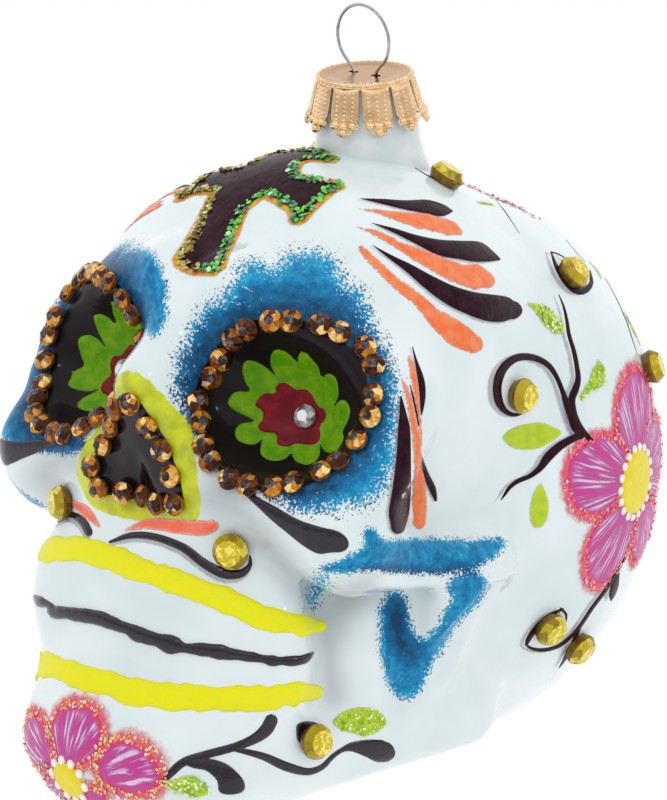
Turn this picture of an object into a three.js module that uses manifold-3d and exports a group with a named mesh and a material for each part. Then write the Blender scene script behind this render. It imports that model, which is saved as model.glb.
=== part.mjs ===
// A blown glass skull ornament: the hollow head with its neck, a stamped crown cap, a sprung wire
// hanger and glued facet stones. Millimetres, +Z up, the face towards -Y. The origin is the hook
// point, inside the top of the hanger's loop.
import * as THREE from "three";
import { mergeVertices } from "three/addons/utils/BufferGeometryUtils.js";
import Module from "manifold-3d";

const wasm = await Module();
wasm.setup();

// Glass head
const HEAD_WIDTH = 63;
const HEAD_LENGTH = 100;
const HEAD_HEIGHT = 88;
const GLASS_WALL = 1.2;
const BORE_OVERRUN = 1.2;
const MIDLINE_ROUNDING = 1;
const FIT_GAP = 0.3;
const SURFACE_STEP = 0.02;

// Eye sockets
const BRIDGE_WIDTH = 12.8;
const ORBIT_WALL = 3.1;
const SOCKET_HEIGHT = 18.4;
const SOCKET_DEPTH = 9;
const SOCKET_ROUNDING = 2;
const SOCKET_DROOP = THREE.MathUtils.degToRad(12);
const SOCKET_TURN = THREE.MathUtils.degToRad(12);

// Nose hollow
const NOSE_TOP_RADIUS = 2.2;
const NOSE_FOOT_RADIUS = 3.4;
const NOSE_ROUNDING = 1.2;

// Grooves that outline the jaw's branch under each cheek arch
const GROOVE_RADIUS = 2.6;
const GROOVE_ROUNDING = 3;

// Glass neck, whose rim stands proud of the head's top
const NECK_FORWARD = 7.4;
const NECK_PROUD = 9.76;
const NECK_TILT = THREE.MathUtils.degToRad(4);
const NECK_LENGTH = 14;
const NECK_RIM_RADIUS = 5.8;
const NECK_BASE_RADIUS = 6.9;
const NECK_FLARE_RADIUS = 9;
const NECK_BORE_RADIUS = 4.5;
const NECK_RIM_CHAMFER = 0.3;

// Crown cap of stamped sheet
const CAP_SHEET = 0.4;
const CAP_DISC_RADIUS = 6.4;
const CAP_TIP_RADIUS = 8.2;
const CAP_HEIGHT = 6.8;
const CAP_COLLAR = 0.9;
const CAP_PETALS = 10;
const PETAL_WIDTH = 3.7;
const PETAL_SHEET = 0.28;
const PETAL_BALL_RADIUS = 0.55;
const RIM_BEADS = 30;
const RIM_BEAD_HEIGHT = 0.22;
const SLOT_SPACING = 3.9;
const SLOT_LENGTH = 1.3;
const SLOT_WIDTH = 0.8;
const CAP_TOLERANCE = 0.02;

// Sprung wire hanger
const WIRE_DIAMETER = 0.5;
const LOOP_WIDTH = 9.5;
const LOOP_HEIGHT = 9.4;
const LEG_STRAIGHT = 3;
const LEG_LENGTH = 12.5;

// Stones
const EYE_PAIRS = 11;
const NOSE_STONES = 13;
const RING_GAP = 0.55;
const LARGE_STONE = 4.7;
const CRYSTAL = 3.1;
const STONE_ROOT = 1;
const SEAT_TOLERANCE = 0.08;
const GIRDLE_CONTACT = 0.12;
const RING_OUTSET = 0.4;
const NOSE_RING_CORNER = 3.8;
const CRYSTAL_DROP = 3.5;
const CRYSTAL_ASIDE = 1.3;
const NECK_STONE_OUT = 2.1;
const NECK_STONE_TURN = THREE.MathUtils.degToRad(20);

// Mesh fineness
const SKIN_DETAIL = 17;
const CAVITY_DETAIL = 7;
const FACE_PULL_SHARE = 0.2;
const SETTLING_ROUNDS = 4;
const STONE_SIDES = 8;
const ROUND_SIDES = 30;
const WIRE_SIDES = 6;
const WIRE_STEPS = 66;
const RING_SAMPLES = 360;

// Forms of the head, blended one after another: lobes reach about a point, bars run between two.
// Places and reaches are shares of the head's width, length and height; radii and blends are shares
// of its width.
const formShares = {
  cranium: { at: [0, 0.01, 0.01], reach: [0.5, 0.375, 0.39], blend: 0 },
  back: { at: [0, 0.05, -0.145], reach: [0.41, 0.3, 0.338], blend: 0.22 },
  forehead: { from: [0, -0.195, 0.218], to: [0.21, -0.21, 0.232], radii: [0.282, 0.262], blend: 0.16 },
  crown: { at: [0, -0.125, 0.2], reach: [0.365, 0.215, 0.274], blend: 0.16 },
  brow: { from: [0.1, -0.375, 0.33], to: [0.305, -0.36, 0.255], radii: [0.07, 0.05], blend: 0.13 },
  orbit: { from: [0.455, -0.325, 0.207], to: [0.46, -0.358, 0.135], radii: [0.066, 0.062], blend: 0.095 },
  bridge: { from: [0, -0.395, 0.278], to: [0, -0.47, 0.205], radii: [0.067, 0.073], blend: 0.13 },
  nose: { from: [0, -0.455, 0.16], to: [0.095, -0.45, 0.06], radii: [0.09, 0.098], blend: 0.095 },
  middleFace: { at: [0, -0.25, 0.045], reach: [0.385, 0.14, 0.235], blend: 0.13 },
  temple: { at: [0, -0.27, 0.16], reach: [0.465, 0.12, 0.17], blend: 0.13 },
  cheekbone: { from: [0.215, -0.428, 0.06], to: [0.4, -0.413, 0.04], radii: [0.106, 0.114], blend: 0.11 },
  cheekArch: { from: [0.42, -0.39, -0.026], to: [0.48, -0.17, -0.083], radii: [0.054, 0.046], blend: 0.11 },
  teeth: { at: [0, -0.452, -0.172], reach: [0.37, 0.103, 0.21], blend: 0.08 },
  chin: { at: [0, -0.52, -0.352], reach: [0.3, 0.085, 0.12], blend: 0.12 },
  jawSide: { from: [0.245, -0.383, -0.338], to: [0.365, -0.143, -0.338], radii: [0.105, 0.075], blend: 0.13 },
  jawFloor: { at: [0, -0.38, -0.32], reach: [0.25, 0.17, 0.13], blend: 0.1 },
  cheek: { at: [0, -0.24, -0.196], reach: [0.44, 0.184, 0.182], blend: 0.1 },
  jawBranch: { from: [0.445, -0.21, -0.125], to: [0.43, -0.24, -0.227], radii: [0.052, 0.03], blend: 0.08 },
};
const grooveShares = [
  { from: [0.408, -0.293, -0.108], to: [0.433, -0.29, -0.256] },
  { from: [0.494, -0.18, -0.134], to: [0.457, -0.267, -0.261] },
];

// How far forward and up the socket's middle lies, and the ends of the nose hollow's left edge.
const socketShares = { forward: 0.446, rise: 0.2023 };
const noseShares = { top: [0, -0.544, 0.1614], foot: [0.0667, -0.544, 0.0909] };

// The top and the left foot of the triangle of stones round the nose.
const noseRingShares = { top: [0, -0.544, 0.2114], foot: [0.1429, -0.544, 0.0432] };

// The point that the skin's mesh is spread about.
const middleShares = [0, -0.21, 0.03];

// Where the large stones sit: points beside the head, as shares of its width, length and height.
const largeStoneShares = {
  lip: [0.234, -0.489, -0.007],
  chin: [0.345, -0.42, -0.3],
  temple: [0.47, -0.111, 0.164],
  crown: [0.338, 0.097, 0.283],
  back: [0.392, 0.226, 0.115],
  jaw: [0.453, -0.029, -0.221],
  nape: [0.417, 0.062, -0.285],
};

// A facet stone's outline: heights and radii as shares of its diameter.
const stoneShares = { base: 0.42, girdle: 0.5, table: 0.29, girdleRise: 0.2, tableRise: 0.42 };

// A petal's right edge from its root to its tip: half widths as shares of the petal's width, and
// distances down as shares of its length. The last three points make the trefoil foot.
const petalShares = [
  [0.44, 0],
  [0.47, 0.3],
  [0.5, 0.66],
  [0.47, 0.78],
  [0.28, 0.86],
  [0.2, 0.95],
  [0, 1],
];
const petalBallShares = [
  [-0.26, 0.72],
  [0.26, 0.72],
  [0, 0.86],
];

// The hanger's leg below its straight part: how far it has spread towards the bore's wall, and how
// far down that part that is.
const legShares = [
  [0.6, 0.35],
  [0.95, 0.68],
  [0.85, 1],
];

const materials = {
  glass: new THREE.MeshStandardMaterial({ color: 0xeaf6f7, roughness: 0.12, metalness: 0 }),
  amber: new THREE.MeshStandardMaterial({ color: 0x9a5316, roughness: 0.2, flatShading: true }),
  olive: new THREE.MeshStandardMaterial({ color: 0xa8851c, roughness: 0.2, flatShading: true }),
  crystal: new THREE.MeshStandardMaterial({ color: 0xf2f4f6, roughness: 0.1, flatShading: true }),
  cap: new THREE.MeshStandardMaterial({ color: 0xd9b98a, roughness: 0.32, metalness: 1 }),
  wire: new THREE.MeshStandardMaterial({ color: 0xc9ccd0, roughness: 0.2, metalness: 1 }),
};

// Fields: how far a point lies outside a form, negative inside it.

function headPoint(shares) {
  return new THREE.Vector3(shares[0] * HEAD_WIDTH, shares[1] * HEAD_LENGTH, shares[2] * HEAD_HEIGHT);
}

function lobeField(p, at, reach) {
  const q = p.clone().sub(at);
  const near = q.clone().divide(reach);
  const steep = near.clone().divide(reach);
  const size = near.length();
  return size === 0 ? -Math.min(reach.x, reach.y, reach.z) : (size * (size - 1)) / steep.length();
}

function barField(p, from, to, fromRadius, toRadius) {
  const along = to.clone().sub(from);
  const share = THREE.MathUtils.clamp(p.clone().sub(from).dot(along) / along.lengthSq(), 0, 1);
  const radius = THREE.MathUtils.lerp(fromRadius, toRadius, share);
  return p.distanceTo(from.clone().addScaledVector(along, share)) - radius;
}

function blendedLower(a, b, width) {
  const overlap = Math.max(width - Math.abs(a - b), 0);
  return width === 0 ? Math.min(a, b) : Math.min(a, b) - (overlap * overlap) / (4 * width);
}

function blendedUpper(a, b, width) {
  return -blendedLower(-a, -b, width);
}

const forms = Object.values(formShares).map((form) => {
  const blend = form.blend * HEAD_WIDTH;
  if (form.at) {
    const at = headPoint(form.at);
    const reach = headPoint(form.reach);
    return { blend, field: (p) => lobeField(p, at, reach) };
  }
  const from = headPoint(form.from);
  const to = headPoint(form.to);
  const [fromRadius, toRadius] = form.radii.map((share) => share * HEAD_WIDTH);
  return { blend, field: (p) => barField(p, from, to, fromRadius, toRadius) };
});

const grooves = grooveShares.map((groove) => [headPoint(groove.from), headPoint(groove.to)]);
const noseTop = headPoint(noseShares.top);
const noseFoot = headPoint(noseShares.foot);

// Each socket spans its half of the head between the bridge and the orbit's wall.
const socketWidth = (HEAD_WIDTH - BRIDGE_WIDTH) / 2 - ORBIT_WALL;
const socketMiddle = new THREE.Vector3(
  (BRIDGE_WIDTH + socketWidth) / 2,
  -socketShares.forward * HEAD_LENGTH,
  socketShares.rise * HEAD_HEIGHT,
);
const socketReach = new THREE.Vector3(socketWidth / 2, SOCKET_DEPTH, SOCKET_HEIGHT / 2);
const socketTurn = new THREE.Quaternion().setFromEuler(new THREE.Euler(0, SOCKET_DROOP, SOCKET_TURN));
const socketUnturn = socketTurn.clone().invert();

// Both halves of the head come from the half at X over zero.
function mirrored(p) {
  return new THREE.Vector3(Math.hypot(p.x, MIDLINE_ROUNDING), p.y, p.z);
}

// The head before its sockets and nose are pressed in.
function faceField(p) {
  const q = mirrored(p);
  return forms.reduce((depth, form) => blendedLower(depth, form.field(q), form.blend), Infinity);
}

function socketField(q) {
  const local = q.clone().sub(socketMiddle).applyQuaternion(socketUnturn);
  return lobeField(local, new THREE.Vector3(), socketReach);
}

function skinField(p) {
  const q = mirrored(p);
  const nose = barField(q, noseTop, noseFoot, NOSE_TOP_RADIUS, NOSE_FOOT_RADIUS);
  const dented = blendedUpper(faceField(p), -socketField(q), SOCKET_ROUNDING);
  const hollowed = blendedUpper(dented, -nose, NOSE_ROUNDING);
  return grooves.reduce((depth, [from, to]) => {
    return blendedUpper(depth, -barField(q, from, to, GROOVE_RADIUS, GROOVE_RADIUS), GROOVE_ROUNDING);
  }, hollowed);
}

function fieldNormal(field, p) {
  const slope = (axis) => {
    const ahead = p.clone().setComponent(axis, p.getComponent(axis) + SURFACE_STEP);
    const behind = p.clone().setComponent(axis, p.getComponent(axis) - SURFACE_STEP);
    return field(ahead) - field(behind);
  };
  return new THREE.Vector3(slope(0), slope(1), slope(2)).normalize();
}

// Walks from a point outside along a direction, until the field has fallen to a level.
function walkIn(field, start, direction, level) {
  const p = start.clone();
  for (let step = 0; step < 90; step += 1) {
    p.addScaledVector(direction, 0.7 * (field(p) - level));
  }
  return p;
}

// Meshes and solids.

function closedGeometry(geometry) {
  const bare = geometry.index ? geometry.clone() : geometry;
  bare.deleteAttribute("normal");
  bare.deleteAttribute("uv");
  const merged = mergeVertices(bare, SURFACE_STEP / 10);
  const index = Array.from(merged.index.array);
  const faces = [];
  for (let i = 0; i < index.length; i += 3) {
    const [a, b, c] = index.slice(i, i + 3);
    if (a !== b && b !== c && c !== a) faces.push(a, b, c);
  }
  merged.setIndex(faces);
  return merged;
}

function signedVolume(geometry) {
  const place = geometry.getAttribute("position");
  const index = geometry.index.array;
  const corner = (i) => new THREE.Vector3().fromBufferAttribute(place, index[i]);
  let volume = 0;
  for (let i = 0; i < index.length; i += 3) {
    volume += corner(i).dot(corner(i + 1).cross(corner(i + 2)));
  }
  return volume;
}

function outward(geometry) {
  const closed = closedGeometry(geometry);
  if (signedVolume(closed) < 0) closed.setIndex(Array.from(closed.index.array).reverse());
  return closed;
}

function toSolid(geometry) {
  const closed = outward(geometry);
  return new wasm.Manifold(new wasm.Mesh({
    numProp: 3,
    vertProperties: new Float32Array(closed.getAttribute("position").array),
    triVerts: new Uint32Array(closed.index.array),
  }));
}

function toGeometry(solid) {
  const mesh = solid.getMesh();
  const geometry = new THREE.BufferGeometry();
  geometry.setAttribute("position", new THREE.BufferAttribute(mesh.vertProperties, mesh.numProp));
  geometry.setIndex(new THREE.BufferAttribute(mesh.triVerts, 1));
  geometry.computeVertexNormals();
  return geometry;
}

// A cut solid without its offcuts.
function largestPiece(solid) {
  const pieces = solid.decompose();
  return pieces.sort((a, b) => b.volume() - a.volume())[0];
}

function joined(solids) {
  return solids.reduce((whole, solid) => whole.add(solid));
}

// A profile of [radius, height] points turned round the Z axis.
function turned(points, sides) {
  const profile = points.map(([radius, height]) => new THREE.Vector2(radius, height));
  return new THREE.LatheGeometry(profile, sides).rotateX(Math.PI / 2);
}

// The corners next to each corner of a closed mesh.
function neighboursOf(geometry) {
  const index = geometry.index.array;
  const near = Array.from({ length: geometry.getAttribute("position").count }, () => new Set());
  for (let i = 0; i < index.length; i += 3) {
    const [a, b, c] = index.slice(i, i + 3);
    near[a].add(b).add(c);
    near[b].add(c).add(a);
    near[c].add(a).add(b);
  }
  return near.map((corners) => Array.from(corners));
}

// Evens a skin out: each corner goes halfway to the middle of its neighbours and back to the level.
function settle(geometry, field, level) {
  const place = geometry.getAttribute("position");
  const near = neighboursOf(geometry);
  const at = (i) => new THREE.Vector3().fromBufferAttribute(place, i);
  for (let round = 0; round < SETTLING_ROUNDS; round += 1) {
    const moved = near.map((corners, i) => {
      const mean = corners.reduce((sum, corner) => sum.add(at(corner)), new THREE.Vector3());
      const p = at(i).lerp(mean.divideScalar(corners.length), 1 / 2);
      const normal = fieldNormal(field, p);
      return p.addScaledVector(normal, level - field(p)).addScaledVector(normal, level - field(p));
    });
    moved.forEach((p, i) => place.setXYZ(i, p.x, p.y, p.z));
  }
}

// A closed skin spread about a point inside it, finer on the face than behind.
function starSkin(field, level, detail) {
  const middle = headPoint(middleShares);
  const ball = closedGeometry(new THREE.IcosahedronGeometry(1, detail));
  const place = ball.getAttribute("position");
  const pull = new THREE.Vector3(0, -FACE_PULL_SHARE, 0);
  for (let i = 0; i < place.count; i += 1) {
    const direction = new THREE.Vector3().fromBufferAttribute(place, i).add(pull).normalize();
    const start = middle.clone().addScaledVector(direction, HEAD_LENGTH);
    const p = walkIn(field, start, direction.negate(), level);
    place.setXYZ(i, p.x, p.y, p.z);
  }
  settle(ball, field, level);
  return ball;
}

function grown(geometry, distance) {
  const bigger = geometry.clone();
  const place = bigger.getAttribute("position");
  bigger.computeVertexNormals();
  const normal = bigger.getAttribute("normal");
  for (let i = 0; i < place.count; i += 1) {
    const p = new THREE.Vector3().fromBufferAttribute(place, i);
    p.addScaledVector(new THREE.Vector3().fromBufferAttribute(normal, i), distance);
    place.setXYZ(i, p.x, p.y, p.z);
  }
  return bigger;
}

// The glass head and neck.

const skin = starSkin(skinField, 0, SKIN_DETAIL);

const aboveHead = new THREE.Vector3(0, -NECK_FORWARD, HEAD_HEIGHT);
const headTop = walkIn(skinField, aboveHead, new THREE.Vector3(0, 0, -1), 0);
const neckFrame = new THREE.Matrix4().compose(
  new THREE.Vector3(0, -NECK_FORWARD, headTop.z + NECK_PROUD),
  new THREE.Quaternion().setFromEuler(new THREE.Euler(NECK_TILT, 0, 0)),
  new THREE.Vector3(1, 1, 1),
);

function neckSolid() {
  const flare = (share) => THREE.MathUtils.lerp(NECK_BASE_RADIUS, NECK_FLARE_RADIUS, share * share);
  const waist = -CAP_HEIGHT;
  const points = [[0, 0], [NECK_RIM_RADIUS - NECK_RIM_CHAMFER, 0]];
  points.push([NECK_RIM_RADIUS, -NECK_RIM_CHAMFER], [NECK_BASE_RADIUS, waist]);
  for (const share of [0.25, 0.5, 0.75, 1]) {
    points.push([flare(share), THREE.MathUtils.lerp(waist, -NECK_LENGTH, share)]);
  }
  points.push([0, -NECK_LENGTH]);
  return toSolid(turned(points, ROUND_SIDES).applyMatrix4(neckFrame));
}

function boreSolid() {
  const top = BORE_OVERRUN;
  const foot = -NECK_LENGTH - BORE_OVERRUN;
  const points = [[0, top], [NECK_BORE_RADIUS, top], [NECK_BORE_RADIUS, foot], [0, foot]];
  return toSolid(turned(points, ROUND_SIDES).applyMatrix4(neckFrame));
}

function glassSkull() {
  const outside = toSolid(skin).add(neckSolid());
  const cavity = toSolid(starSkin(skinField, -GLASS_WALL, CAVITY_DETAIL)).add(boreSolid());
  return new THREE.Mesh(toGeometry(outside.subtract(cavity)), materials.glass);
}

// The crown cap, with the top of its disc at height zero.

// Pushes every other corner outwards at one height of a turned form.
function beaded(geometry, height) {
  const place = geometry.getAttribute("position");
  for (let i = 0; i < place.count; i += 1) {
    const p = new THREE.Vector3().fromBufferAttribute(place, i);
    const crest = (1 + Math.cos(RIM_BEADS * Math.atan2(p.y, p.x))) / 2;
    if (Math.abs(p.z - height) > SURFACE_STEP) continue;
    const spread = 1 + (crest * RIM_BEAD_HEIGHT) / CAP_DISC_RADIUS;
    place.setXYZ(i, p.x * spread, p.y * spread, p.z);
  }
  return geometry;
}

function capShell() {
  const inner = CAP_DISC_RADIUS - CAP_SHEET;
  const bend = CAP_SHEET / 2;
  const shell = turned([
    [0, 0],
    [CAP_DISC_RADIUS - bend, 0],
    [CAP_DISC_RADIUS, -bend],
    [CAP_DISC_RADIUS, -CAP_SHEET],
    [CAP_DISC_RADIUS, -CAP_COLLAR],
    [inner, -CAP_COLLAR],
    [inner, -CAP_SHEET],
    [0, -CAP_SHEET],
  ], 2 * RIM_BEADS);
  return toSolid(beaded(shell, -bend));
}

// Bends a petal drawn flat, with its thickness along Z, into the flared skirt.
function bentPetal(geometry, turn) {
  const place = geometry.getAttribute("position");
  for (let i = 0; i < place.count; i += 1) {
    const down = -place.getY(i) / CAP_HEIGHT;
    const radius = THREE.MathUtils.lerp(CAP_DISC_RADIUS, CAP_TIP_RADIUS, down) + place.getZ(i);
    const angle = turn + place.getX(i) / radius;
    place.setXYZ(i, radius * Math.cos(angle), radius * Math.sin(angle), place.getY(i));
  }
  return geometry;
}

function petalSolid(turn) {
  const root = -CAP_COLLAR / 2;
  const length = CAP_HEIGHT + root;
  const edge = petalShares.map(([x, y]) => new THREE.Vector2(x * PETAL_WIDTH, root - y * length));
  const otherEdge = edge.slice(0, -1).reverse().map((point) => new THREE.Vector2(-point.x, point.y));
  const shape = new THREE.Shape([...edge, ...otherEdge]);
  const flat = new THREE.ExtrudeGeometry(shape, { depth: PETAL_SHEET, bevelEnabled: false });
  return toSolid(bentPetal(flat.translate(0, 0, -(CAP_SHEET + PETAL_SHEET) / 2), turn));
}

function petalBall(turn, across, down) {
  const ball = new THREE.IcosahedronGeometry(PETAL_BALL_RADIUS, 0);
  ball.translate(across * PETAL_WIDTH, -down * CAP_HEIGHT, (PETAL_SHEET - CAP_SHEET) / 2);
  return toSolid(bentPetal(ball, turn));
}

function slotSolid(side) {
  const half = (SLOT_LENGTH - SLOT_WIDTH) / 2;
  const middle = (side * SLOT_SPACING) / 2;
  const slot = new THREE.Shape();
  slot.absarc(middle + half, 0, SLOT_WIDTH / 2, -Math.PI / 2, Math.PI / 2);
  slot.absarc(middle - half, 0, SLOT_WIDTH / 2, Math.PI / 2, (3 * Math.PI) / 2);
  const run = { depth: 3 * CAP_SHEET, bevelEnabled: false, curveSegments: 6 };
  return toSolid(new THREE.ExtrudeGeometry(slot, run).translate(0, 0, -2 * CAP_SHEET));
}

function crownCap() {
  const petals = Array.from({ length: CAP_PETALS }, (_, i) => (i * 2 * Math.PI) / CAP_PETALS);
  const balls = petals.flatMap((turn) => petalBallShares.map(([x, y]) => petalBall(turn, x, y)));
  const shell = joined([capShell(), ...petals.map(petalSolid), ...balls]);
  const open = shell.subtract(slotSolid(1)).subtract(slotSolid(-1));
  const cap = new THREE.Mesh(toGeometry(open.simplify(CAP_TOLERANCE)), materials.cap);
  cap.position.z = FIT_GAP + CAP_SHEET;
  return cap;
}

// The hanger: a round loop, drawn in at the cap's slots, and two legs that spread inside the neck.

function hangerPath() {
  const loopRadius = (LOOP_WIDTH - WIRE_DIAMETER) / 2;
  const loopMiddle = LOOP_HEIGHT - WIRE_DIAMETER / 2 - loopRadius;
  const waist = SLOT_SPACING / 2;
  const spread = NECK_BORE_RADIUS - FIT_GAP - WIRE_DIAMETER / 2 - waist;
  const leg = legShares.map(([out, down]) => {
    return new THREE.Vector3(waist + out * spread, 0, THREE.MathUtils.lerp(-LEG_STRAIGHT, -LEG_LENGTH, down));
  });
  const half = [...leg.reverse(), new THREE.Vector3(waist, 0, -LEG_STRAIGHT), new THREE.Vector3(waist, 0, 0)];
  for (const degrees of [-36, -18, 0, 18, 36, 54, 72]) {
    const angle = THREE.MathUtils.degToRad(degrees);
    half.push(new THREE.Vector3(loopRadius * Math.cos(angle), 0, loopMiddle + loopRadius * Math.sin(angle)));
  }
  const top = new THREE.Vector3(0, 0, loopMiddle + loopRadius);
  const other = half.map((p) => new THREE.Vector3(-p.x, p.y, p.z)).reverse();
  return new THREE.CatmullRomCurve3([...half, top, ...other], false, "centripetal");
}

function hangerWire() {
  const section = new THREE.Shape();
  for (let i = 0; i < WIRE_SIDES; i += 1) {
    const angle = ((i + 1 / 2) * 2 * Math.PI) / WIRE_SIDES;
    const corner = new THREE.Vector2(Math.cos(angle), Math.sin(angle)).multiplyScalar(WIRE_DIAMETER / 2);
    if (i === 0) section.moveTo(corner.x, corner.y);
    else section.lineTo(corner.x, corner.y);
  }
  const wire = new THREE.ExtrudeGeometry(section, { steps: WIRE_STEPS, extrudePath: hangerPath() });
  const hanger = new THREE.Mesh(toGeometry(toSolid(wire)), materials.wire);
  hanger.position.z = FIT_GAP + CAP_SHEET;
  return hanger;
}

// Stones. Each stands square to the glass, and the glass's own curve, a gap outside it, cuts its base.

const seatedGlass = toSolid(grown(skin, FIT_GAP));

function stoneSolid(diameter, place, axis, aside) {
  const girdleRise = stoneShares.girdleRise * diameter;
  const tableRise = stoneShares.tableRise * diameter;
  const stone = turned([
    [0, -STONE_ROOT],
    [stoneShares.base * diameter, -STONE_ROOT],
    [stoneShares.base * diameter, 0],
    [stoneShares.girdle * diameter, girdleRise],
    [stoneShares.table * diameter, tableRise],
    [0, tableRise],
  ], STONE_SIDES).rotateZ(Math.PI / STONE_SIDES);
  const width = aside.clone().addScaledVector(axis, -aside.dot(axis)).normalize();
  const length = axis.clone().cross(width);
  stone.applyMatrix4(new THREE.Matrix4().makeBasis(width, length, axis).setPosition(place));
  return largestPiece(toSolid(stone).subtract(seatedGlass).simplify(SEAT_TOLERANCE));
}

function stoneMesh(solid, material, name) {
  const stone = new THREE.Mesh(toGeometry(solid), material);
  stone.name = name;
  return stone;
}

// How far apart two stones stand whose flat girdle sides meet.
function stoneTouch(diameter) {
  return diameter * Math.cos(Math.PI / STONE_SIDES) - GIRDLE_CONTACT;
}

// The diameter of stones that fill a ring, so many in touching pairs and so many single.
function ringStoneDiameter(length, pairs, singles) {
  const free = length + pairs * GIRDLE_CONTACT - (pairs + singles) * RING_GAP;
  return free / (pairs * (1 + Math.cos(Math.PI / STONE_SIDES)) + singles);
}

// Points that are evenly told along a closed curve, each with the distance to it along the curve.
function tracedRing(pointAt) {
  const points = Array.from({ length: RING_SAMPLES + 1 }, (_, i) => pointAt(i / RING_SAMPLES));
  const distances = [0];
  for (let i = 1; i <= RING_SAMPLES; i += 1) {
    distances.push(distances[i - 1] + points[i].distanceTo(points[i - 1]));
  }
  return { points, distances, length: distances[RING_SAMPLES] };
}

function ringPlace(ring, distance) {
  const after = Math.max(ring.distances.findIndex((reached) => reached >= distance), 1);
  const share = (distance - ring.distances[after - 1]) / (ring.distances[after] - ring.distances[after - 1]);
  const place = ring.points[after - 1].clone().lerp(ring.points[after], share);
  const along = ring.points[after].clone().sub(ring.points[after - 1]).normalize();
  return { place, along };
}

// Drops a point in front of the face onto the glass.
function ontoFace(x, z, field) {
  return walkIn(field, new THREE.Vector3(x, -HEAD_LENGTH, z), new THREE.Vector3(0, 1, 0), 0);
}

// The point a gap above the glass, along an axis through a point near it.
function glassSeat(place, axis) {
  const above = place.clone().addScaledVector(axis, LARGE_STONE);
  return walkIn(skinField, above, axis.clone().negate(), FIT_GAP);
}

function socketRimPoint(share, side) {
  const angle = share * 2 * Math.PI;
  const flat = new THREE.Vector3(
    (socketWidth / 2 + RING_OUTSET) * Math.cos(angle),
    0,
    (SOCKET_HEIGHT / 2 + RING_OUTSET) * Math.sin(angle),
  );
  const turnedPoint = flat.applyQuaternion(socketTurn).add(socketMiddle);
  return ontoFace(side * turnedPoint.x, turnedPoint.z, faceField);
}

// One stone or more in a straight row, a touch apart, about a point of the ring.
function ringStones(ring, distance, count, diameter) {
  const { place, along } = ringPlace(ring, distance);
  const axis = fieldNormal(faceField, place);
  const seat = glassSeat(place, axis);
  const aside = along.addScaledVector(axis, -along.dot(axis)).normalize();
  return Array.from({ length: count }, (_, i) => {
    const middle = seat.clone().addScaledVector(aside, (i - (count - 1) / 2) * stoneTouch(diameter));
    return stoneSolid(diameter, middle, axis, aside);
  });
}

// Eye ring stones stand in touching pairs, joined at their girdles, and one closes the ring.
function eyeRing(side, label) {
  const ring = tracedRing((share) => socketRimPoint(share, side));
  const diameter = ringStoneDiameter(ring.length, EYE_PAIRS, 1);
  const single = diameter + RING_GAP;
  const pairLength = (ring.length - single) / EYE_PAIRS;
  const pairs = Array.from({ length: EYE_PAIRS }, (_, i) => {
    const stones = ringStones(ring, (i + 1 / 2) * pairLength, 2, diameter);
    const name = `${label}_eye_stones_${String(i + 1).padStart(2, "0")}`;
    return stoneMesh(joined(stones), materials.amber, name);
  });
  const [last] = ringStones(ring, ring.length - single / 2, 1, diameter);
  return [...pairs, stoneMesh(last, materials.amber, `${label}_eye_stone_last`)];
}

// A triangle with rounded corners round the nose hollow, in the X-Z plane.
function noseOutline() {
  const top = headPoint(noseRingShares.top);
  const foot = headPoint(noseRingShares.foot);
  const corner = NOSE_RING_CORNER;
  const slope = new THREE.Vector2(foot.x, foot.z - top.z).setLength(corner);
  const outline = new THREE.Path();
  outline.moveTo(slope.x, top.z + slope.y);
  outline.lineTo(foot.x - slope.x, foot.z - slope.y);
  outline.quadraticCurveTo(foot.x, foot.z, foot.x - corner, foot.z);
  outline.lineTo(corner - foot.x, foot.z);
  outline.quadraticCurveTo(-foot.x, foot.z, slope.x - foot.x, foot.z - slope.y);
  outline.lineTo(-slope.x, top.z + slope.y);
  outline.quadraticCurveTo(0, top.z, slope.x, top.z + slope.y);
  return outline;
}

function noseRing() {
  const outline = noseOutline();
  const ring = tracedRing((share) => {
    const flat = outline.getPointAt(share);
    return ontoFace(flat.x, flat.y, faceField);
  });
  const diameter = ringStoneDiameter(ring.length, 0, NOSE_STONES);
  return Array.from({ length: NOSE_STONES }, (_, i) => {
    const [stone] = ringStones(ring, ((i + 1 / 2) * ring.length) / NOSE_STONES, 1, diameter);
    return stoneMesh(stone, materials.amber, `nose_stone_${String(i + 1).padStart(2, "0")}`);
  });
}

function eyeCrystal(side, label) {
  const aside = side * (socketMiddle.x - CRYSTAL_ASIDE);
  const place = ontoFace(aside, socketMiddle.z - CRYSTAL_DROP, skinField);
  const axis = fieldNormal(skinField, place);
  const across = new THREE.Vector3(1, 0, 0);
  const crystal = stoneSolid(CRYSTAL, glassSeat(place, axis), axis, across);
  return stoneMesh(crystal, materials.crystal, `${label}_eye_crystal`);
}

// A large stone on the glass, at the point that is met from a start outside along a direction.
function largeStone(start, direction, name) {
  const place = walkIn(skinField, start, direction, 0);
  const axis = fieldNormal(skinField, place);
  const across = new THREE.Vector3(0, 1, 0);
  const stone = stoneSolid(LARGE_STONE, glassSeat(place, axis), axis, across);
  return stoneMesh(stone, materials.olive, name);
}

// The stone behind the neck stands beyond the foot of the neck's flare.
function neckStone(side, label) {
  const out = NECK_FLARE_RADIUS + NECK_STONE_OUT;
  const x = side * out * Math.cos(NECK_STONE_TURN);
  const y = out * Math.sin(NECK_STONE_TURN) - NECK_FORWARD;
  const start = new THREE.Vector3(x, y, HEAD_HEIGHT);
  return largeStone(start, new THREE.Vector3(0, 0, -1), `${label}_neck_stone`);
}

function headStone(name, shares, side, label) {
  const outwards = headPoint([side * shares[0], shares[1], shares[2]]).normalize();
  const start = outwards.clone().multiplyScalar(HEAD_LENGTH);
  return largeStone(start, outwards.negate(), `${label}_${name}_stone`);
}

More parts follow.
